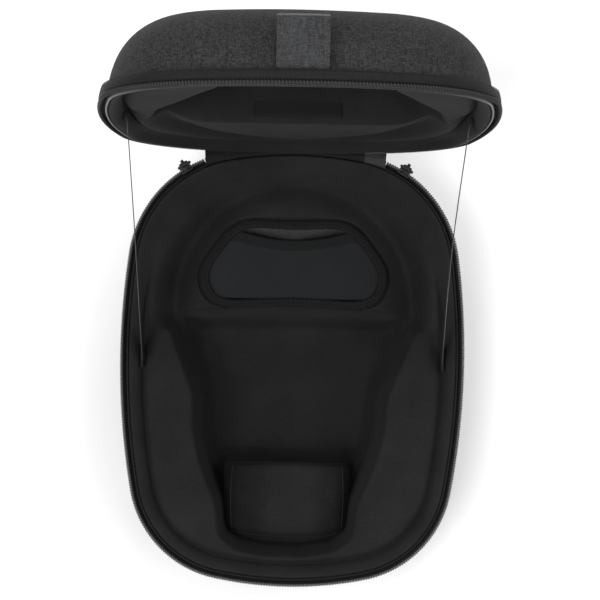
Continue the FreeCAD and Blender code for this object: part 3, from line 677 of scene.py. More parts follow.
def cover(half):
    """Moulded cloth cover: a tapered wall, a round bottom edge and a flat or lightly crowned floor."""
    depth, radius = DEPTH[half], EDGE_R[half]
    hub = SKIN + (depth - radius - BAND_FOOT) * math.tan(TAPER) + radius / math.cos(TAPER)
    turn = np.linspace(TAPER, math.pi / 2, 22)
    arc = np.stack([hub - radius * np.cos(turn), depth - radius + radius * np.sin(turn)], -1)
    top = np.array([(1.3, -1.1), (0.5, -0.2), (0.02, 0.7)]) + (SKIN, BAND_FOOT)
    wall = np.linspace([SKIN + 0.1, BAND_FOOT + 1.6], arc[0], 16, endpoint=False)
    profile = np.concatenate([top, wall, arc])
    grid = rim_sweep(profile, ring_shares(RIM_COUNT))
    floor_rings = []
    for scale in np.linspace(1, 0, 18)[1:]:
        ring = grid[:, -1] * [scale, scale, 1]
        ring[:, 2] -= CROWN[half] * (1 - scale**2)
        floor_rings.append(ring)
    grid = np.concatenate([grid, np.stack(floor_rings, 1)], 1)
    if half == "lid":
        grid[..., 2] -= wave("lid_cover", grid, 60, 0.22) * smoothstep(8, 20, -grid[..., 2])
    points, quads, uv = surface(grid, wrap_a=True)
    row = np.tile(np.arange(grid.shape[1] - 1), RIM_COUNT)
    flat = row >= len(profile) - PLANAR_ROWS
    uv[flat] = points[quads[flat]][..., :2] * MM
    item = piece(f"{half}_cover", (points, quads, uv), COVER, half, stands_for=[f"{half}_fabric"],
                 towards=(0, 0, 0))
    weld(item)
    thicken(item, 0.8)


BAND_PROFILE = [(4.75, 8.35), (3.2, 8.5), (1.6, 8.2), (0.8, 7.2), (0.42, 5.8), (0.45, 4.4), (0.8, 3.4),
                (1.5, 2.95), (2.6, 3.4), (3.9, 4.4), (4.6, 5.4), (5.0, 7.2)]
COIL_MIDDLE, COIL_HALF = (1.02, 1.86), (0.92, 1.08)  # inset and depth
TOOTH_PITCH = 1.6
TOOTH_STEPS = 6  # sections of the coil to a tooth
TOOTH_TWIST = 0.8
TOOTH_SWELL = 0.24
OUTER_SWELL = {"base": 0.36, "lid": 0.24}
WELT_MIDDLE, WELT_HALF = (4.55, 2.65), (0.82, 2.2)
# Each half's coil and piping. The base's teeth are painted lighter as a highlight and its piping darker as
# shade. The lid's piping is painted lighter as a highlight.
ZIP_FINISH_AND_PAINTED_LIGHT = {"base": (GLOSSY_LIT_TEETH, MATT_SHADED_WELT), "lid": (TEETH, SATIN_LIT)}


def round_profile(middle, half, angle, swell=(1, 1)):
    """An oval of (inset, depth) pairs, each way swollen on its own."""
    return np.stack([middle[0] + half[0] * np.cos(angle) * swell[0],
                     middle[1] + half[1] * np.sin(angle) * swell[1]], -1)


def zip_side(half):
    """The tape that bulges out under the coil, its stitching, the coil itself and the piping beside it."""
    share = open_shares(RIM_COUNT)
    tape = rim_sweep(soften(BAND_PROFILE, 2, closed=True), share)
    piece(f"{half}_zip_tape", strip(tape), TAPE, half, stands_for=[f"{half}_zip_band"])

    teeth = int(RIM_LENGTH * (share[-1] - share[0]) / TOOTH_PITCH)
    coil_share = open_shares(teeth * TOOTH_STEPS + 1)
    angle = np.arange(10) / 10 * 2 * math.pi
    phase = (np.arange(len(coil_share)) / TOOTH_STEPS * 2 * math.pi)[:, None] - angle * TOOTH_TWIST
    outer = np.where(np.cos(angle) < 0, OUTER_SWELL[half], TOOTH_SWELL)
    swell = 1 + outer * np.cos(phase), 1 + TOOTH_SWELL * np.cos(phase)
    coil = rim_sweep(round_profile(COIL_MIDDLE, COIL_HALF, angle, swell), coil_share)
    piece(f"{half}_zip_teeth", strip(coil), ZIP_FINISH_AND_PAINTED_LIGHT[half][0], half,
          stands_for=[f"{half}_zip_coil"])
    point = rim(open_shares(900, NOTCH + 2), 1.15)[0]
    path = np.column_stack([point, np.full(len(point), -8.0)])
    piece(f"{half}_tape_stitching", stitches(path, -UP, 3.0, 0.7, 0.2), THREAD, half)

    angle = np.arange(14) / 14 * 2 * math.pi
    welt = rim_sweep(round_profile(WELT_MIDDLE, WELT_HALF, angle), share)
    welt[..., 2] += wave("welt", welt, 24, 0.12)
    piece(f"{half}_piping", strip(welt), ZIP_FINISH_AND_PAINTED_LIGHT[half][1], half, stands_for=[f"{half}_welt"])


FACING_EDGE = [(5.5, 3.1), (5.35, 1.6), (5.75, 0.85)]
FACING_FRONT = FACING_EDGE + [(6.6, 0.8), (7.9, 1.3), (9.6, 2.4), (11.2, 4.2), (12.2, 6.4), (12.7, 9.0),
                              (11.4, 9.2), (8.6, 5.0), (6.6, 3.6)]
FACING_BACK = FACING_EDGE + [(6.8, 0.85), (8.6, 1.9), (10.6, 3.4), (13.0, 5.0), (16.0, 6.0), (18.0, 6.7),
                             (15.0, 7.4), (9.5, 5.2), (6.6, 3.6)]


def back_share(y):
    """How far a place belongs to the back, where the facing runs into the deck with no crease."""
    return smoothstep(30, 78, y)


def facing(half):
    """Padded edging between the zip and the deck, creased except at the back."""
    share = ring_shares(RIM_COUNT)
    mix = back_share(rim(share)[0][:, 1])[:, None, None]
    front, back = soften(FACING_FRONT, 2, closed=True), soften(FACING_BACK, 2, closed=True)
    grid = rim_sweep(front * (1 - mix) + back * mix, share)
    grid[..., 2] += wave("facing", grid, 30, 0.18)
    piece(f"{half}_facing", surface(grid, wrap_a=True, wrap_b=True), LINING, half,
          stands_for=[f"{half}_rim_facing"])


def facing_seam():
    """Where the ends of the base's facing meet, at the middle of the back."""
    profile = [(6.0, 0.85), (7.2, 1.0), (8.8, 2.0), (10.8, 3.5), (13, 4.9), (16, 6)]
    line = [(-2.0, HALF_LENGTH - inset, 0.1 - depth) for inset, depth in profile]
    thread = stitches(spaced(line, 60), (0, -0.5, 0.87), 1.7, 0.7, 0.3)
    piece("base_facing_seam", thread, THREAD)


# ---- moulded inserts

# The recess in its plan, +X side only, from the back to the front, and the pit in its floor.
HUB = np.array([0.0, -20.0])
OUTLINE = [(78.5, 33), (58.4, -18), (57.5, -39), (54, -54), (41.2, -84), (39.2, -103), (30, -110.8),
           (12, -114.4)]
PIT = [(70, 33), (55.5, -21), (55, -45), (50, -60.5)]
CHANNEL_Y = 37.5  # where the headband's channel turns into its arc
CHANNEL_R = 73.5
DECK = 6.0  # depth of the padded deck
LEVELS = {"base": (33.0, 36.0, 56.0), "lid": (22.0, 20.0, 34.0)}  # shoulder, well and pit
RAYS, RINGS = 720, 170
RECESS_DRIFT = 2.6  # to the left, towards the front
SIDE_DRAFT, FRONT_DRAFT, BACK_DRAFT, PIT_DRAFT = 3.2, 1.5, 3.6, 4.0  # how far in each wall reaches
CORNER_SLOPE = 5.0  # what the back wall's corners add to that
EDGE_ROUND, BACK_ROUND, FLOOR_ROUND = 1.5, 3.2, 4.0  # how widely the cloth rounds the foam's edges
BESIDE_BOLSTER = 9.0  # extra depth on both sides of the bolster
CHANNEL_SHARE = {"base": 1.0, "lid": 0.35}
MAP_STEP = 1.0
MAP_X = np.arange(-112, 113, MAP_STEP)
MAP_Y = np.arange(-146, 147, MAP_STEP)
POCKET = [(37, 89.7), (61, 56.5), (52.5, 35.6)]
POCKET_HUB = np.array([0.0, 62.0])


def rounded_outline(corners, round_by):
    """Closed polygon with its corners rounded, as an evenly spaced line of points."""
    line = spaced(mirrored(corners), 2400, closed=True)
    step = np.linalg.norm(line[1] - line[0])
    width = max(1, int(round_by / step))
    kernel = np.hanning(2 * width + 3)[1:-1]
    kernel /= kernel.sum()
    padded_line = np.concatenate([line[-2 * width - 2:], line, line[:2 * width + 2]])
    smooth = np.stack([np.convolve(padded_line[:, k], kernel, "same") for k in (0, 1)], -1)
    return smooth[2 * width + 2:-2 * width - 2]


def reach(outline, hub, angles):
    """Distance from a hub to a closed outline in each direction."""
    offset = outline - hub
    turn = np.arctan2(offset[:, 1], offset[:, 0])
    order = np.argsort(turn)
    turn, far = turn[order], np.linalg.norm(offset, axis=1)[order]
    turn = np.concatenate([turn[-3:] - 2 * math.pi, turn, turn[:3] + 2 * math.pi])
    far = np.concatenate([far[-3:], far, far[:3]])
    return np.interp((np.asarray(angles) + math.pi) % (2 * math.pi) - math.pi, turn, far)


OUTLINE_LINE = rounded_outline(OUTLINE, 5)
SIDE_LINE = {"base": rounded_outline([(89.1, 60)] + OUTLINE[1:], 4),
             "lid": rounded_outline([(84, 60), (75, -4), (49, -66)] + OUTLINE[4:], 4)}
PIT_LINE = rounded_outline(PIT, 6)
POCKET_LINE = rounded_outline(POCKET, 23)
DECK_EDGE = rim(ring_shares(1600), 10.6)[0]


def fair_angles(count):
    """Directions spread evenly over the recess's outline and the rim together."""
    dense = np.linspace(-math.pi, math.pi, 7200, endpoint=False)
    total = np.zeros(len(dense) + 1)
    for line in (OUTLINE_LINE, DECK_EDGE):
        far = reach(line, HUB, dense)
        ring = spokes(HUB, dense, far)
        step = np.linalg.norm(np.roll(ring, -1, 0) - ring, axis=1)
        total[1:] += np.cumsum(step) / step.sum()
    want = np.arange(count) / count * total[-1]
    return np.interp(want, total, np.append(dense, math.pi))


def inside_pocket(x, y):
    """Distance inside the pocket's outline, below zero outside it."""
    offset = np.stack([x, y], -1) - POCKET_HUB
    far = np.linalg.norm(offset, axis=-1)
    return reach(POCKET_LINE, POCKET_HUB, np.arctan2(offset[..., 1], offset[..., 0])) - far


def channel_depth(x, y):
    """Soft valley that the headband lies in: shallow behind the island, deep and wide at its sides."""
    rise = np.maximum(y - CHANNEL_Y, 0)
    radius = np.hypot(x, rise)
    turn = np.abs(x) / np.maximum(radius, 1e-6)
    away = radius - CHANNEL_R
    wide = np.where(away < 0, 10 + 8 * turn, 9.5 + 1.5 * turn)
    off = np.sqrt(away**2 + 2.0**2) - 2.0
    fall = 3.4 + 14.0 * turn**1.5
    ends = smoothstep(20, 30, y)
    return fall * np.clip(1 - off / wide, 0, 1) ** 1.5 * ends


def deck_depth(x, y, inset, half):
    """Depth of the padded deck with its headband channel and the dips beside the stays."""
    front = 1 - back_share(y)
    swell = smoothstep(12.8, 18, inset) * (1 - smoothstep(20, 36, inset))
    depth = DECK - 0.7 * front * swell + channel_depth(x, y) * CHANNEL_SHARE[half]
    for side in (-1, 1):
        dip = ((x - side * 89) / 3.6) ** 2 + ((y - 12) / 17) ** 2
        depth = depth + 3.0 * np.exp(-dip)
    return depth


def deck_detail(x, y, inset, half):
    """What is sharp on the deck: the crease along the facing and the groove round the pocket."""
    depth = 3.2 * (1 - back_share(y)) * np.exp(-((inset - 12.6) / 2.3) ** 2)
    if half == "base":
        within = inside_pocket(x, y)
        depth = depth + 3.0 * np.exp(-((within + 0.1) / 1.0) ** 2) + 20 * smoothstep(2.5, 8.0, within)
    return depth


def distance_inside(line, x, y):
    """Distance inside a closed outline round the hub, below zero outside it."""
    offset = np.stack([x, y], -1) - HUB
    far = np.linalg.norm(offset, axis=-1)
    within = reach(line, HUB, np.arctan2(offset[..., 1], offset[..., 0])) > far
    gap = nearest(line[::4], x, y)
    return np.where(within, gap, -gap)


def blurred(values, spread):
    """Evens out a map over a distance, as stretched cloth rounds the foam's edges."""
    far = int(math.ceil(3 * spread / MAP_STEP))
    weight = np.exp(-0.5 * (np.arange(-far, far + 1) * MAP_STEP / spread) ** 2)
    weight /= weight.sum()
    for axis in (0, 1):
        sides = [(far, far) if k == axis else (0, 0) for k in (0, 1)]
        wide = np.pad(values, sides, "edge")
        count = values.shape[axis]
        values = sum(w * np.take(wide, range(k, k + count), axis) for k, w in enumerate(weight))
    return values


def sampled(values, x, y):
    """Value of a map at places between its grid points."""
    i = np.clip((x - MAP_X[0]) / MAP_STEP, 0, len(MAP_X) - 1.001)
    j = np.clip((y - MAP_Y[0]) / MAP_STEP, 0, len(MAP_Y) - 1.001)
    i0, j0 = i.astype(int), j.astype(int)
    a, b = i - i0, j - j0
    near = values[i0, j0] * (1 - b) + values[i0, j0 + 1] * b
    beyond = values[i0 + 1, j0] * (1 - b) + values[i0 + 1, j0 + 1] * b
    return near * (1 - a) + beyond * a


def recess_map(x, y, inset, half):
    """Depth of the deck and of the recess formed in it: drafted walls, shoulder, well and pit."""
    shoulder, well, pit = LEVELS[half]
    deck = deck_depth(x, y, inset, half)
    x = x + RECESS_DRIFT * (1 - smoothstep(-90, 40, y))
    off = np.abs(x)
    beside = distance_inside(SIDE_LINE[half], x, y)
    ahead = OUTLINE[0][1] - y
    inside = np.minimum(beside, ahead)
    deeper = np.minimum(distance_inside(PIT_LINE, x, y), inside - 0.6)
    ledge = np.maximum(shoulder + (well - shoulder) * (1 - smoothstep(-66, -50, y)), deck)
    if half == "base":
        beside_bolster = smoothstep(37, 41, off) * smoothstep(-90, -72, y) * (1 - smoothstep(-60, -54, y))
        ledge = ledge + BESIDE_BOLSTER * beside_bolster
    corner = smoothstep(42, 62, off)
    side_draft = SIDE_DRAFT + (FRONT_DRAFT - SIDE_DRAFT) * (1 - smoothstep(-66, -56, y))
    fall = np.minimum(beside / side_draft, ahead / (BACK_DRAFT + CORNER_SLOPE * corner))
    depth = deck + (ledge - deck) * np.clip(fall, 0, 1)
    depth = depth + (pit - ledge) * np.clip(deeper / PIT_DRAFT, 0, 1)
    open_edge = smoothstep(-6, 2, ahead) * (1 - smoothstep(4, 14, ahead)) * (1 - corner)
    crisp = blurred(depth, EDGE_ROUND) * (1 - open_edge) + blurred(depth, BACK_ROUND) * open_edge
    low = smoothstep(0.55, 0.95, (crisp - deck) / (pit - deck)) * smoothstep(-64, -56, y)
    return crisp * (1 - low) + blurred(depth, FLOOR_ROUND) * low


def insert(half):
    """The formed lining of a half, laid out along rays from the recess's middle."""
    x, y = np.meshgrid(MAP_X, MAP_Y, indexing="ij")
    inset = nearest(RIM_TABLE, x, y)
    depth_map = recess_map(x, y, inset, half)
    angles = fair_angles(RAYS)
    far = reach(DECK_EDGE, HUB, angles)[:, None] * np.linspace(1, 0, 640)
    x, y = np.moveaxis(spokes(HUB, angles, far), -1, 0)
    down = sampled(depth_map, x, y) + deck_detail(x, y, sampled(inset, x, y), half)
    step = np.hypot(np.diff(far, axis=1), np.diff(down, axis=1))
    station = np.concatenate([np.zeros((RAYS, 1)), np.cumsum(step, 1)], 1)
    share = station / station[:, -1:]
    want = np.linspace(0, 1, RINGS)
    far, down = (np.stack([np.interp(want, s, v) for s, v in zip(share, values)]) for values in (far, down))
    grid = np.concatenate([spokes(HUB, angles, far), -down[..., None]], -1)
    grid[..., 2] += wave("lining", grid, 46, 0.3) + wave("lining_fine", grid, 18, 0.1)
    points, quads, _ = surface(grid, wrap_a=True)
    opening = UP if half == "base" else (0, -1, 0)
    item = piece(f"{half}_lining", (points, quads, points[quads][..., :2] * MM), LINING, half,
                 stands_for=[f"{half}_insert"], towards=opening)
    weld(item)


# ---- accessory pocket

PROBE_HEIGHT = 60.0


def on_surface(item, xy, lift):
    """The base's own points where upright lines through xy meet a piece's top, raised a little."""
    graph = bpy.context.evaluated_depsgraph_get()
    evaluated = item.evaluated_get(graph)
    found = []
    for x, y in xy:
        origin = Vector(placed([x, y, PROBE_HEIGHT], "base"))
        hit, where, _, _ = evaluated.ray_cast(origin, (0, 0, -1))
        drop = (origin - where).length / MM if hit else PROBE_HEIGHT
        found.append((x, y, PROBE_HEIGHT - drop + lift))
    return np.array(found)


def pocket_ring(inwards, depth, count=300):
    """Closed line inside the pocket's outline."""
    angles = np.linspace(-math.pi, math.pi, count, endpoint=False)
    place = spokes(POCKET_HUB, angles, reach(POCKET_LINE, POCKET_HUB, angles) - inwards)
    return np.column_stack([place, np.full(count, -float(depth))])


def pocket_half_width(y, inwards):
    """Half the pocket's width at places along it."""
    ring = pocket_ring(inwards, 0, 1200)
    right = ring[ring[:, 0] > 0]
    order = np.argsort(right[:, 1])
    return np.interp(y, right[order, 1], right[order, 0])


def free_edge(x):
    """Where the flap's free edge lies: bowed, and straight beyond the bow's ends."""
    return 77.0 + 4.9 * (np.clip(x, -33, 33) / 32) ** 2


def pocket_trim():
    """Bound and stitched edge round the pocket."""
    ring = spaced(pocket_ring(3.4, 6.5), 320, closed=True)
    ring[:, 2] += wave("pocket_trim", ring, 30, 0.15)
    trim = band(ring, UP, 2.5, 5.4, closed=True, count=16)
    piece("pocket_trim", trim, BINDING, stands_for=["pocket_binding"])
    line = spaced(pocket_ring(4.9, 5.15), 500, closed=True)
    thread = stitches(line, UP, 2.7, 0.7, 0.22, closed=True)
    piece("pocket_trim_stitching", thread, THREAD)


FLAP_FOOT = 41.0
HEM_WIDTH, HEM_SEAM = 6.8, 6.6  # both from the free edge


def pocket_flap():
    """Stretch flap across the pocket's front, with a sewn hem along its free edge."""
    t, across = np.linspace(0, 1, 40)[:, None], np.linspace(-1, 1, 72)
    x = across * 46
    for _ in range(6):
        y = FLAP_FOOT + t * (free_edge(x) - FLAP_FOOT)
        x = across * pocket_half_width(y, 4.6)
    edge = np.minimum(1 - np.abs(across), t) * 2
    lift = 1.5 * np.clip(edge, 0, 1) ** 0.6 * (1 - 0.6 * t) + smoothstep(0.77, 0.83, t) * 0.35
    grid = np.stack([x, y, -7.2 + lift - 1.1 * t**3 * (1 - across**2)], -1)
    grid[..., 2] += wave("pocket_panel", grid, 25, 0.15)
    panel = piece("pocket_panel", surface(grid), NEOPRENE, stands_for=["pocket_flap"],
                  towards=UP)
    paint(panel, HEM, lambda x, y, z: y > free_edge(x) - HEM_WIDTH)
    thicken(panel, 1.5)
    x = np.linspace(-41, 41, 200)
    y = free_edge(x) - HEM_SEAM
    keep = np.abs(x) < pocket_half_width(y, 5.5)
    seam = on_surface(panel, np.column_stack([x[keep], y[keep]]), 0.1)
    hem = piece("pocket_hem_stitching", stitches(seam, UP, 2.2, 0.62, 0.2), THREAD)


CUP_STEEP = [(2.8, 7.4), (4.6, 8.4), (5.6, 13), (6.8, 21), (10, 25.5), (20, 26.5)]
CUP_GENTLE = [(2.8, 7.4), (5.0, 7.9), (8.5, 9.4), (13, 13.5), (17, 21), (20, 26.5)]


def pocket_cup():
    """Gathered lining in the pocket: steep walls, gentle at the back, and a floor."""
    angles = np.linspace(-math.pi, math.pi, 200, endpoint=False)
    outline = reach(POCKET_LINE, POCKET_HUB, angles)[:, None]
    mix = smoothstep(0.35, 0.75, np.sin(angles))[:, None, None]
    wall = soften(CUP_STEEP, 2) * (1 - mix) + soften(CUP_GENTLE, 2) * mix
    inset, depth = CUP_STEEP[-1]
    t = np.linspace(1, 0, 9)[1:]
    far = np.hstack([outline - wall[..., 0], (outline - inset) * t])
    down = np.hstack([wall[..., 1], np.tile(depth - 1.5 * (1 - t), (len(angles), 1))])
    grid = np.concatenate([spokes(POCKET_HUB, angles, far), -down[..., None]], -1)
    grid[..., 2] += wave("pocket_lining", grid, 16, 0.7) * smoothstep(10, 16, down)
    cup = piece("pocket_lining", surface(grid, wrap_a=True), POUCH_CLOTH, stands_for=["pocket_pouch"],
                towards=UP)
    weld(cup)
    thicken(cup, 0.6)


# ---- bolster

CLOTH_FRAMES = 20


def inflate(item, voxel, pressure, cap):
    """Swells a closed piece as cloth under pressure, no point moving further than the cap."""
    scene = bpy.context.scene
    remesh = item.modifiers.new("remesh", "REMESH")
    remesh.mode = "VOXEL"
    remesh.voxel_size = voxel * MM
    bake_modifiers(item)
    start = np.array([v.co for v in item.data.vertices])
    cloth = item.modifiers.new("cloth", "CLOTH")
    cloth.settings.use_pressure = True
    cloth.settings.uniform_pressure_force = pressure
    cloth.settings.effector_weights.gravity = 0
    cloth.settings.tension_stiffness = 30
    cloth.settings.bending_stiffness = 2
    for number in range(1, CLOTH_FRAMES + 1):
        scene.frame_set(number)
    bake_modifiers(item)
    moved = np.array([v.co for v in item.data.vertices]) - start
    far = np.linalg.norm(moved, axis=1, keepdims=True)
    final = start + moved * np.minimum(1, cap * MM / np.maximum(far, 1e-9))
    item.data.vertices.foreach_set("co", final.astype(np.float32).ravel())
    scene.frame_set(1)


BOLSTER_SHIFT = 1.9  # its left end lies further out
CORNER_SHARE = 0.26  # share of each side that a corner takes


def bolster():
    """Padded block in the well: crowned, with a crisp back edge and a rolled front one."""
    low, high = low_high("tray_bolster")
    half, back, front = high[0] - 0.4, high[1] - 1.2, low[1] + 0.4
    foot, top = low[2] - PARTING + 0.3, high[2] - PARTING
    x = np.sin(np.linspace(-1, 1, 49) * math.pi / 2)
    t = np.linspace(0, 1, 48)[:, None]
    corner = np.clip((np.abs(x) - (1 - CORNER_SHARE)) / CORNER_SHARE, 0, 1)
    shrink = 2.6 * x**2 + 8.5 * (1 - np.sqrt(1 - corner**2 * 0.99))
    side = np.clip((1 - np.abs(x)) / CORNER_SHARE, 0, 1)
    shoulder = 0.2 + 0.8 * (side * (2 - side)) ** 0.7
    y = back - 0.3 - t * (back - front - 0.3 - shrink)
    roll = np.sqrt(1 - np.clip((t - 0.87) / 0.13, 0, 1) ** 2 * 0.97)
    crown = top - 0.4 - 2.6 * smoothstep(0.5, 1.0, t) - 0.9 * (1 - smoothstep(0, 0.06, t))
    crown = crown - 1.2 * x**2 - 1.8 * x**4
    height = foot + (crown - foot) * shoulder * (0.3 + 0.7 * roll)
    spot = x * (half + BOLSTER_SHIFT) - BOLSTER_SHIFT
    upper = np.stack([np.broadcast_to(spot, y.shape), y, height], -1)
    lower = upper[:, -2:0:-1].copy()
    lower[..., 2] = foot
    grid = np.concatenate([upper, lower], 1)
    item = piece("bolster", strip(grid), RIBBED, stands_for=["tray_bolster"])
    weld(item)
    inflate(item, 2.4, 4, 1.2)
    soft = item.modifiers.new("soft", "SUBSURF")
    soft.levels = soft.render_levels = 1
    bake_modifiers(item)
    item.data.shade_smooth()
    y = np.linspace(back - 2.5, front + 6, 60)
    bow = 0.8 * np.sin(np.linspace(0, 3, 60))
    for side, sign in (("right", 1), ("left", -1)):
        x = sign * (half - 3.6) - BOLSTER_SHIFT + bow * sign
        line = on_surface(item, np.column_stack([x, y]), 0.15)
        piece(f"bolster_piping_{side}", wire(line, 0.4, across=(1, 0, 0)), LINING)


# ---- hinge strip, stays, loop and label

HINGE_ROWS = (0.7, 1.8, 3.6, 5.6, 7.6)  # depths at which the strip is sewn to each half
SATIN_LIT_FROM = 42.0  # where the strip's shinier end starts, its colour painted lighter as a highlight


def hinge_strip():
    """One strip of cloth from the base's rim to the lid's."""
    half = low_high("hinge_leaf_base")[1][0]
    x = np.linspace(-half, half, 121)
    rim_x, rim_y = rim(np.linspace(0, 0.2, 500), SKIN)[0].T
    y = np.interp(np.abs(x), rim_x, rim_y) + 0.15
    same = np.ones_like(x)
    base_rows = [np.stack([x, y, same * (PARTING - depth)], -1) for depth in HINGE_ROWS]
    lid_rows = [np.stack([x, same * (HINGE_Y + depth), PARTING + HINGE_Y - y], -1) for depth in HINGE_ROWS]
    gap = np.linalg.norm(lid_rows[0] - base_rows[0], axis=1, keepdims=True)
    middle = []
    for t in np.linspace(0, 1, 13)[1:-1]:
        swell = math.sin(t * math.pi)
        pucker = wave("hinge_strip", np.stack([x, same * t * 20], -1), 14, 0.35)[:, None] * swell
        out = 0.07 * swell * gap + pucker * np.minimum(gap / 6, 1)
        middle.append(base_rows[0] * (1 - t) + lid_rows[0] * t + np.array([0, 1, -1]) * out)
    grid = np.stack(base_rows[::-1] + middle + lid_rows, 1)
    item = piece("hinge_strip", surface(grid), HINGE_CLOTH, "world", body="free",
                 stands_for=["hinge_leaf_base", "hinge_leaf_lid"], towards=(0, -1, 1))
    # The strip's satin end is painted lighter, as a highlight.
    paint(item, HINGE_SATIN_LIT, lambda x, y, z: x > SATIN_LIT_FROM)
    thicken(item, 0.7, 0.0)
    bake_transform(item)


SIDES = {"right": 1, "left": -1}
STAY_LEAN = {"right": -0.146, "left": 0.115}
STAY_DRIFT = {"right": [0, -1.4, -2.0, -1.2, 0], "left": [0, 0.2, 0.3, 0.2, 0]}


def stays():
    """Ribbons that stop the lid, edge on to the sides."""
    for side in SIDES:
        tabs = [f"stay_tab_{half}_{side}" for half in ("base", "lid")]
        start, end = (np.mean(low_high(tab), 0) for tab in tabs)
        start[0] = end[0] = np.mean(low_high(f"lid_stay_{side}"), 0)[0]
        t = np.linspace(0, 1, 5)[:, None]
        points = start * (1 - t) + end * t
        points[:, 0] += STAY_DRIFT[side]
        path = spaced(soften(points, 3), 90)
        ribbon = band(path, (STAY_LEAN[side], -0.67, 0.74), 9.6, 0.6)
        item = piece(f"stay_{side}", ribbon, RIBBON, "world", body="free", stands_for=[f"lid_stay_{side}"])
        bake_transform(item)


def stay_tabs(half):
    """Folded and stitched tabs that hold the ribbons' ends."""
    axes = np.eye(3)
    run, tall = (axes[1], axes[2]) if half == "base" else (axes[2], axes[1])
    for side in SIDES:
        name = f"stay_tab_{half}_{side}"
        low, high = low_high(name)
        middle = (low + high) / 2
        run_by = run * ((high - low) @ run)
        cloth = band([middle + run_by * k for k in np.linspace(-0.5, 0.5, 16)], tall, 4.0, 1.7, count=14)
        inner = np.array([-np.sign(middle[0]), 0, 0])
        lines = []
        for offset in (-0.36, 0.36):
            line = [middle + run_by * offset + tall * k + inner * 0.85 for k in np.linspace(-1.5, 1.5, 6)]
            lines.append(stitches(line, inner, 1.0, 0.7, 0.16))
        piece(f"{name}_cloth", cloth, TAB_CLOTH, "world", half, [name])
        piece(f"{name}_stitching", merged(lines), THREAD, "world", half)


def front_line(profile, x=0.0):
    """Points at the middle of the front, or beside it, from (inset, depth) pairs."""
    return np.array([(x, inset - HALF_LENGTH, -depth) for inset, depth in profile])


LOOP_BEND = 3.85
LIT_FOLD_REACH = 1.6  # how far along the fold the painted highlight reaches
LOOP_SEAM = [(2.05, 9.2), (0.62, 12), (0.36, 15), (0.34, 20), (0.36, 26), (0.62, 31)]


def carry_loop():
    """Webbing folded into a loop, sewn in under the lid's zip tape."""
    low, high = low_high("carry_loop")
    width = high[0] - low[0]
    hub = high[1] - HINGE_Y - 4.5
    turn = np.linspace(math.pi, 2 * math.pi, 14)
    bend = [(5.1 + LOOP_BEND * math.cos(a), hub - LOOP_BEND * math.sin(a)) for a in turn]
    profile = [(4.2, 8.3), (2.4, 9.0), (1.45, 10.6), (1.15, 13), (1.05, 18), (1.1, 24), *bend,
               (8.0, 24), (6.0, 17), (4.2, 12), (4.4, 9.6)]
    grid = along_path(spaced(soften(front_line(profile), 2), 120), (1, 0, 0), oval(width, 1.35, 20, 5))
    grid[..., 1] += 0.25 * np.sin(grid[..., 2] * 0.35) * (np.abs(grid[..., 0]) / width * 2) ** 2
    item = piece("carry_loop_webbing", strip(grid), WEBBING, "lid",
                 stands_for=["carry_loop"])
    # The fold of the loop is painted lighter, as a highlight.
    paint(item, LIT_FOLD, lambda x, y, z: y > high[1] - LIT_FOLD_REACH)
    outward = np.array([0, -1.0, 0])
    side_lines = [spaced(soften(front_line(LOOP_SEAM, sign * (width / 2 - 2.2)), 2), 60) for sign in (-1, 1)]
    seams = [stitches(line, outward, 2.6, 0.72, 0.24) for line in side_lines]
    tack = [(x, 0.55 - HALF_LENGTH, -12.4) for x in np.linspace(-width / 2 + 2.4, width / 2 - 2.4, 20)]
    seams.append(stitches(tack, outward, 2.0, 0.72, 0.22))
    thread = piece("carry_loop_stitching", merged(seams), PALE_THREAD, "lid")


def label():
    """Plain woven label with a sewn border on the recess's wall by the hinge."""
    low, high = low_high("lid_label")
    half, tall = (high[0] - low[0]) / 2, high[1] - low[1]
    lean = math.radians(5)
    right = np.array([1.0, 0, 0])
    across = np.array([0, -math.sin(lean), -math.cos(lean)])
    out = np.array([0, -math.cos(lean), math.sin(lean)])
    middle = np.array([0, PARTING + HINGE_Y - low[2] - 0.9, HINGE_Y - (low[1] + high[1]) / 2])
    cloth = band([middle + right * x for x in np.linspace(-half, half, 40)], across, tall, 0.7, count=20)
    item = piece("label", cloth, LABEL, "lid", stands_for=["lid_label"])
    border = [middle + right * a * (half - 1.4) + across * b * (tall / 2 - 1.3) + out * 0.42
              for a, b in ((-1, -1), (1, -1), (1, 1), (-1, 1))]
    thread = stitches(border, out, 2.0, 0.7, 0.16, closed=True)
    thread = piece("label_stitching", thread, THREAD, "lid")


# ---- sliders, pulls and stops

SLIDER_TURN = math.radians(32)
SLIDER_LONG, SLIDER_TALL = 9.0, 6.0
INNER_FACE, OUTER_FACE = -2.3, 0.8  # the two plates' faces on the coil
PIVOT = 3.0
LINK_LONG = 9.0
GRIP_LONG = 24.0
# Size and height of each ring of a plate, up to its middle.
PLATE_RINGS = [(0.0, -1), (0.45, -1), (0.8, -1), (0.93, -0.95), (1, -0.6)]
STRAP_WRAP = [(0.9, -2.4), (1.05, -0.6), (0.7, 0.55), (0, 0.85), (-0.7, 0.55), (-1.05, -0.6), (-0.9, -2.4)]


def corner_frame(sign):
    """Place and axes of a slider: along the rim, outwards and up."""
    hub = ARC_CENTRES[1]
    out = np.array([sign * math.sin(SLIDER_TURN), math.cos(SLIDER_TURN), 0])
    run = np.array([math.cos(SLIDER_TURN), -sign * math.sin(SLIDER_TURN), 0])
    spot = np.array([sign * hub[0], hub[1], PARTING]) + out * BACK_CORNER_R
    return spot, np.stack([run, out, UP])


def carried(parts, place):
    """One geometry from several in a slider's own axes, moved to its place."""
    spot, axes = place
    points, quads, uv = merged(parts)
    return spot + points @ axes, quads, uv


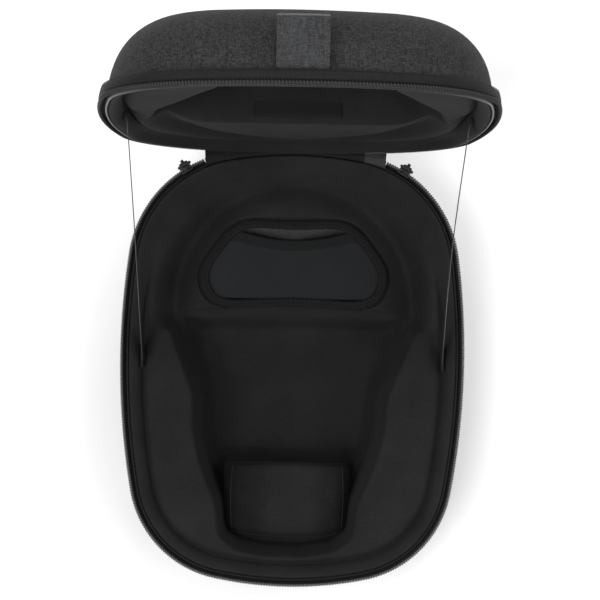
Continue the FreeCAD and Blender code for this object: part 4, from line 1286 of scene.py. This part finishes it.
def plate(outline, y_low, y_high, crown=0.0):
    """A flat part cut to an outline of (x, z) points, its edges eased and its outer face crowned."""
    middle = outline.mean(0)
    y_middle, thick = (y_low + y_high) / 2, (y_high - y_low) / 2
    layers = []
    for scale, y in mirrored(PLATE_RINGS, 1):
        ring = middle + (outline - middle) * scale
        lift = crown * (1 - scale**2) if y > 0.7 else 0
        height = np.full(len(ring), y_middle + thick * y + lift)
        layers.append(np.column_stack([ring[:, 0], height, ring[:, 1]]))
    return surface(np.stack(layers), wrap_b=True)


def loop_through(corners, count):
    """A closed line through softened corners."""
    return spaced(soften(corners, 2, closed=True), count, closed=True)


def slider(side, sign):
    """Metal slider of two plates and a neck, with an arch that holds its pull."""
    long, tall = SLIDER_LONG / 2, SLIDER_TALL / 2
    corners = [(-long, -1.7), (-long + 1.6, -tall), (long - 1.2, -tall), (long, -2.2)]
    outline = loop_through(mirrored(corners, 1), 40)
    outer = plate(outline, OUTER_FACE, OUTER_FACE + 1.3, 0.3)
    inner = plate(outline * [0.88, 0.74], INNER_FACE - 1.0, INNER_FACE)
    neck = band([(0, y, 0) for y in (-2.8, -1.5, 0, 1.4)], (1, 0, 0), 3.8, 0.8)
    corners = mirrored([(1.7, 2.6), (4.0, 2.3), (4.6, 1.0)], 1)
    arch = band(spaced(soften([(0, y, z) for y, z in corners], 2), 26), (1, 0, 0), 2.1, 0.9)
    whole = carried([outer, inner, neck, arch], corner_frame(sign))
    item = piece(f"slider_{side}_body", whole, METAL, "world", f"slider_{side}", [f"zip_slider_{side}"])
    weld(item)


def pull(side, sign):
    """A wire link and a moulded, ribbed grip that hang from a slider."""
    place, body = corner_frame(sign), f"pull_{side}"
    corners = mirrored([(1.7, 0), (2.4, -0.9), (2.4, 0.9 - LINK_LONG), (1.7, -LINK_LONG)])
    loop = loop_through([(x, PIVOT, z) for x, z in corners], 72)
    link = carried([wire(loop, 0.55, closed=True, across=(0, 1, 0), count=10)], place)
    piece(f"{body}_wire", link, METAL, "world", body, [f"pull_link_{side}"])
    top = -LINK_LONG - 0.6
    foot = top - GRIP_LONG
    corners = np.roll(mirrored([(2.9, top), (3.3, top - 5), (3.9, foot + 4), (3.6, foot)]), 1, 0)
    tab = plate(loop_through(corners, 96), PIVOT - 1.05, PIVOT + 1.05)
    rows = [[(x, PIVOT + 0.95, foot + 4 + k * 2.3) for x in np.linspace(-2.7, 2.7, 10)] for k in range(6)]
    ribs = [band(row, UP, 1.0, 0.7, count=10) for row in rows]
    strap = band([(0, PIVOT + y, z - LINK_LONG) for y, z in STRAP_WRAP], (1, 0, 0), 3.2, 0.55, count=10)
    grip = carried([tab, *ribs, strap], place)
    weld(piece(f"{body}_grip", grip, RUBBER, "world", body, [f"pull_tab_{side}"]))


def zip_stops(half):
    """Stops at both ends of the coil."""
    parts = []
    for centre in open_shares(2, NOTCH - 1.8):
        point = rim(centre + np.linspace(-1.4, 1.4, 7) / RIM_LENGTH, 1.0)[0]
        path = np.column_stack([point, np.full(len(point), -1.85)])
        parts.append(band(path, UP, 2.2, 1.9))
    piece(f"{half}_stops", merged(parts), TEETH, half, stands_for=[f"zip_stops_{half}"])


# ---- the whole case

for each in ("base", "lid"):
    cover(each)
    zip_side(each)
    facing(each)
    insert(each)
    stay_tabs(each)
    zip_stops(each)
    shell = frame["nodes"][f"{each}_shell"]
    shell.data.materials.clear()
    shell.data.materials.append(FOAM)
for build in (facing_seam, pocket_trim, pocket_flap, pocket_cup, bolster, hinge_strip, stays, carry_loop,
              label):
    build()
for side, sign in SIDES.items():
    slider(side, sign)
    pull(side, sign)

# ---- floor, light and camera

FLOOR_REACH = 9000.0
# Lights: place in metres, size, power.
LIGHTS = {"key": ((-0.75, -0.3, 1.85), 1.1, 24), "fill": ((1.1, -0.1, 1.6), 1.2, 10),
          "rim_light": ((0.2, 1.3, 1.5), 1.0, 14)}
WORLD_POWER = 0.62
CAMERA_X, CAMERA_Y = -0.0101, 0.0128  # metres
CAMERA_HEIGHT = 1.0035  # metres above the parting plane
CAMERA_TILT = (1.56, -0.83, 0.92)  # degrees
CAMERA_LENS = 98.9


def floor():
    """Plain pale floor, far wider than the picture."""
    material, tree, shader, where = new_material("pale_floor")
    shade = mixed(tree, noise(tree, where, 8, 3), (0.86,), (0.9,))
    tree.links.new(shade, shader.inputs["Base Color"])
    set_shader(shader, 0.9, 0.0, 0.2)
    side = np.linspace(-FLOOR_REACH, FLOOR_REACH, 13)
    x, y = np.meshgrid(side, side, indexing="ij")
    level = CAD_BOX[0].z / MM - 0.05
    points, quads, uv = surface(np.stack([x, y, np.full_like(x, level)], -1))
    mesh = make_mesh("floor", points * MM, quads, uv)
    face_outwards(mesh, (0, 0, 1))
    mesh.materials.append(material)
    in_scene("floor", mesh)


def studio():
    """An even white world and three soft lights that face the case."""
    world = bpy.data.worlds.new("studio")
    world.use_nodes = True
    background = next(n for n in world.node_tree.nodes if n.type == "BACKGROUND")
    background.inputs[0].default_value = (1, 1, 1, 1)
    background.inputs[1].default_value = WORLD_POWER
    bpy.context.scene.world = world
    middle = (CAD_BOX[0] + CAD_BOX[1]) / 2
    for name, (spot, size, power) in LIGHTS.items():
        data = bpy.data.lights.new(name, "AREA")
        data.shape = "DISK"
        data.size, data.energy = size, power
        item = in_scene(name, data)
        item.location = spot
        item.rotation_euler = (middle - Vector(spot)).to_track_quat("-Z", "Y").to_euler()


def camera():
    """The camera, looking straight down into the open case."""
    data = bpy.data.cameras.new("camera")
    data.lens, data.sensor_width = CAMERA_LENS, 36
    data.clip_start, data.clip_end = 0.05, 30
    item = in_scene("camera", data)
    item.location = (CAMERA_X, CAMERA_Y, PARTING * MM + CAMERA_HEIGHT)
    item.rotation_euler = [math.radians(a) for a in CAMERA_TILT]
    bpy.context.scene.camera = item


floor()
studio()
camera()
bpy.context.scene.view_settings.view_transform = "Standard"
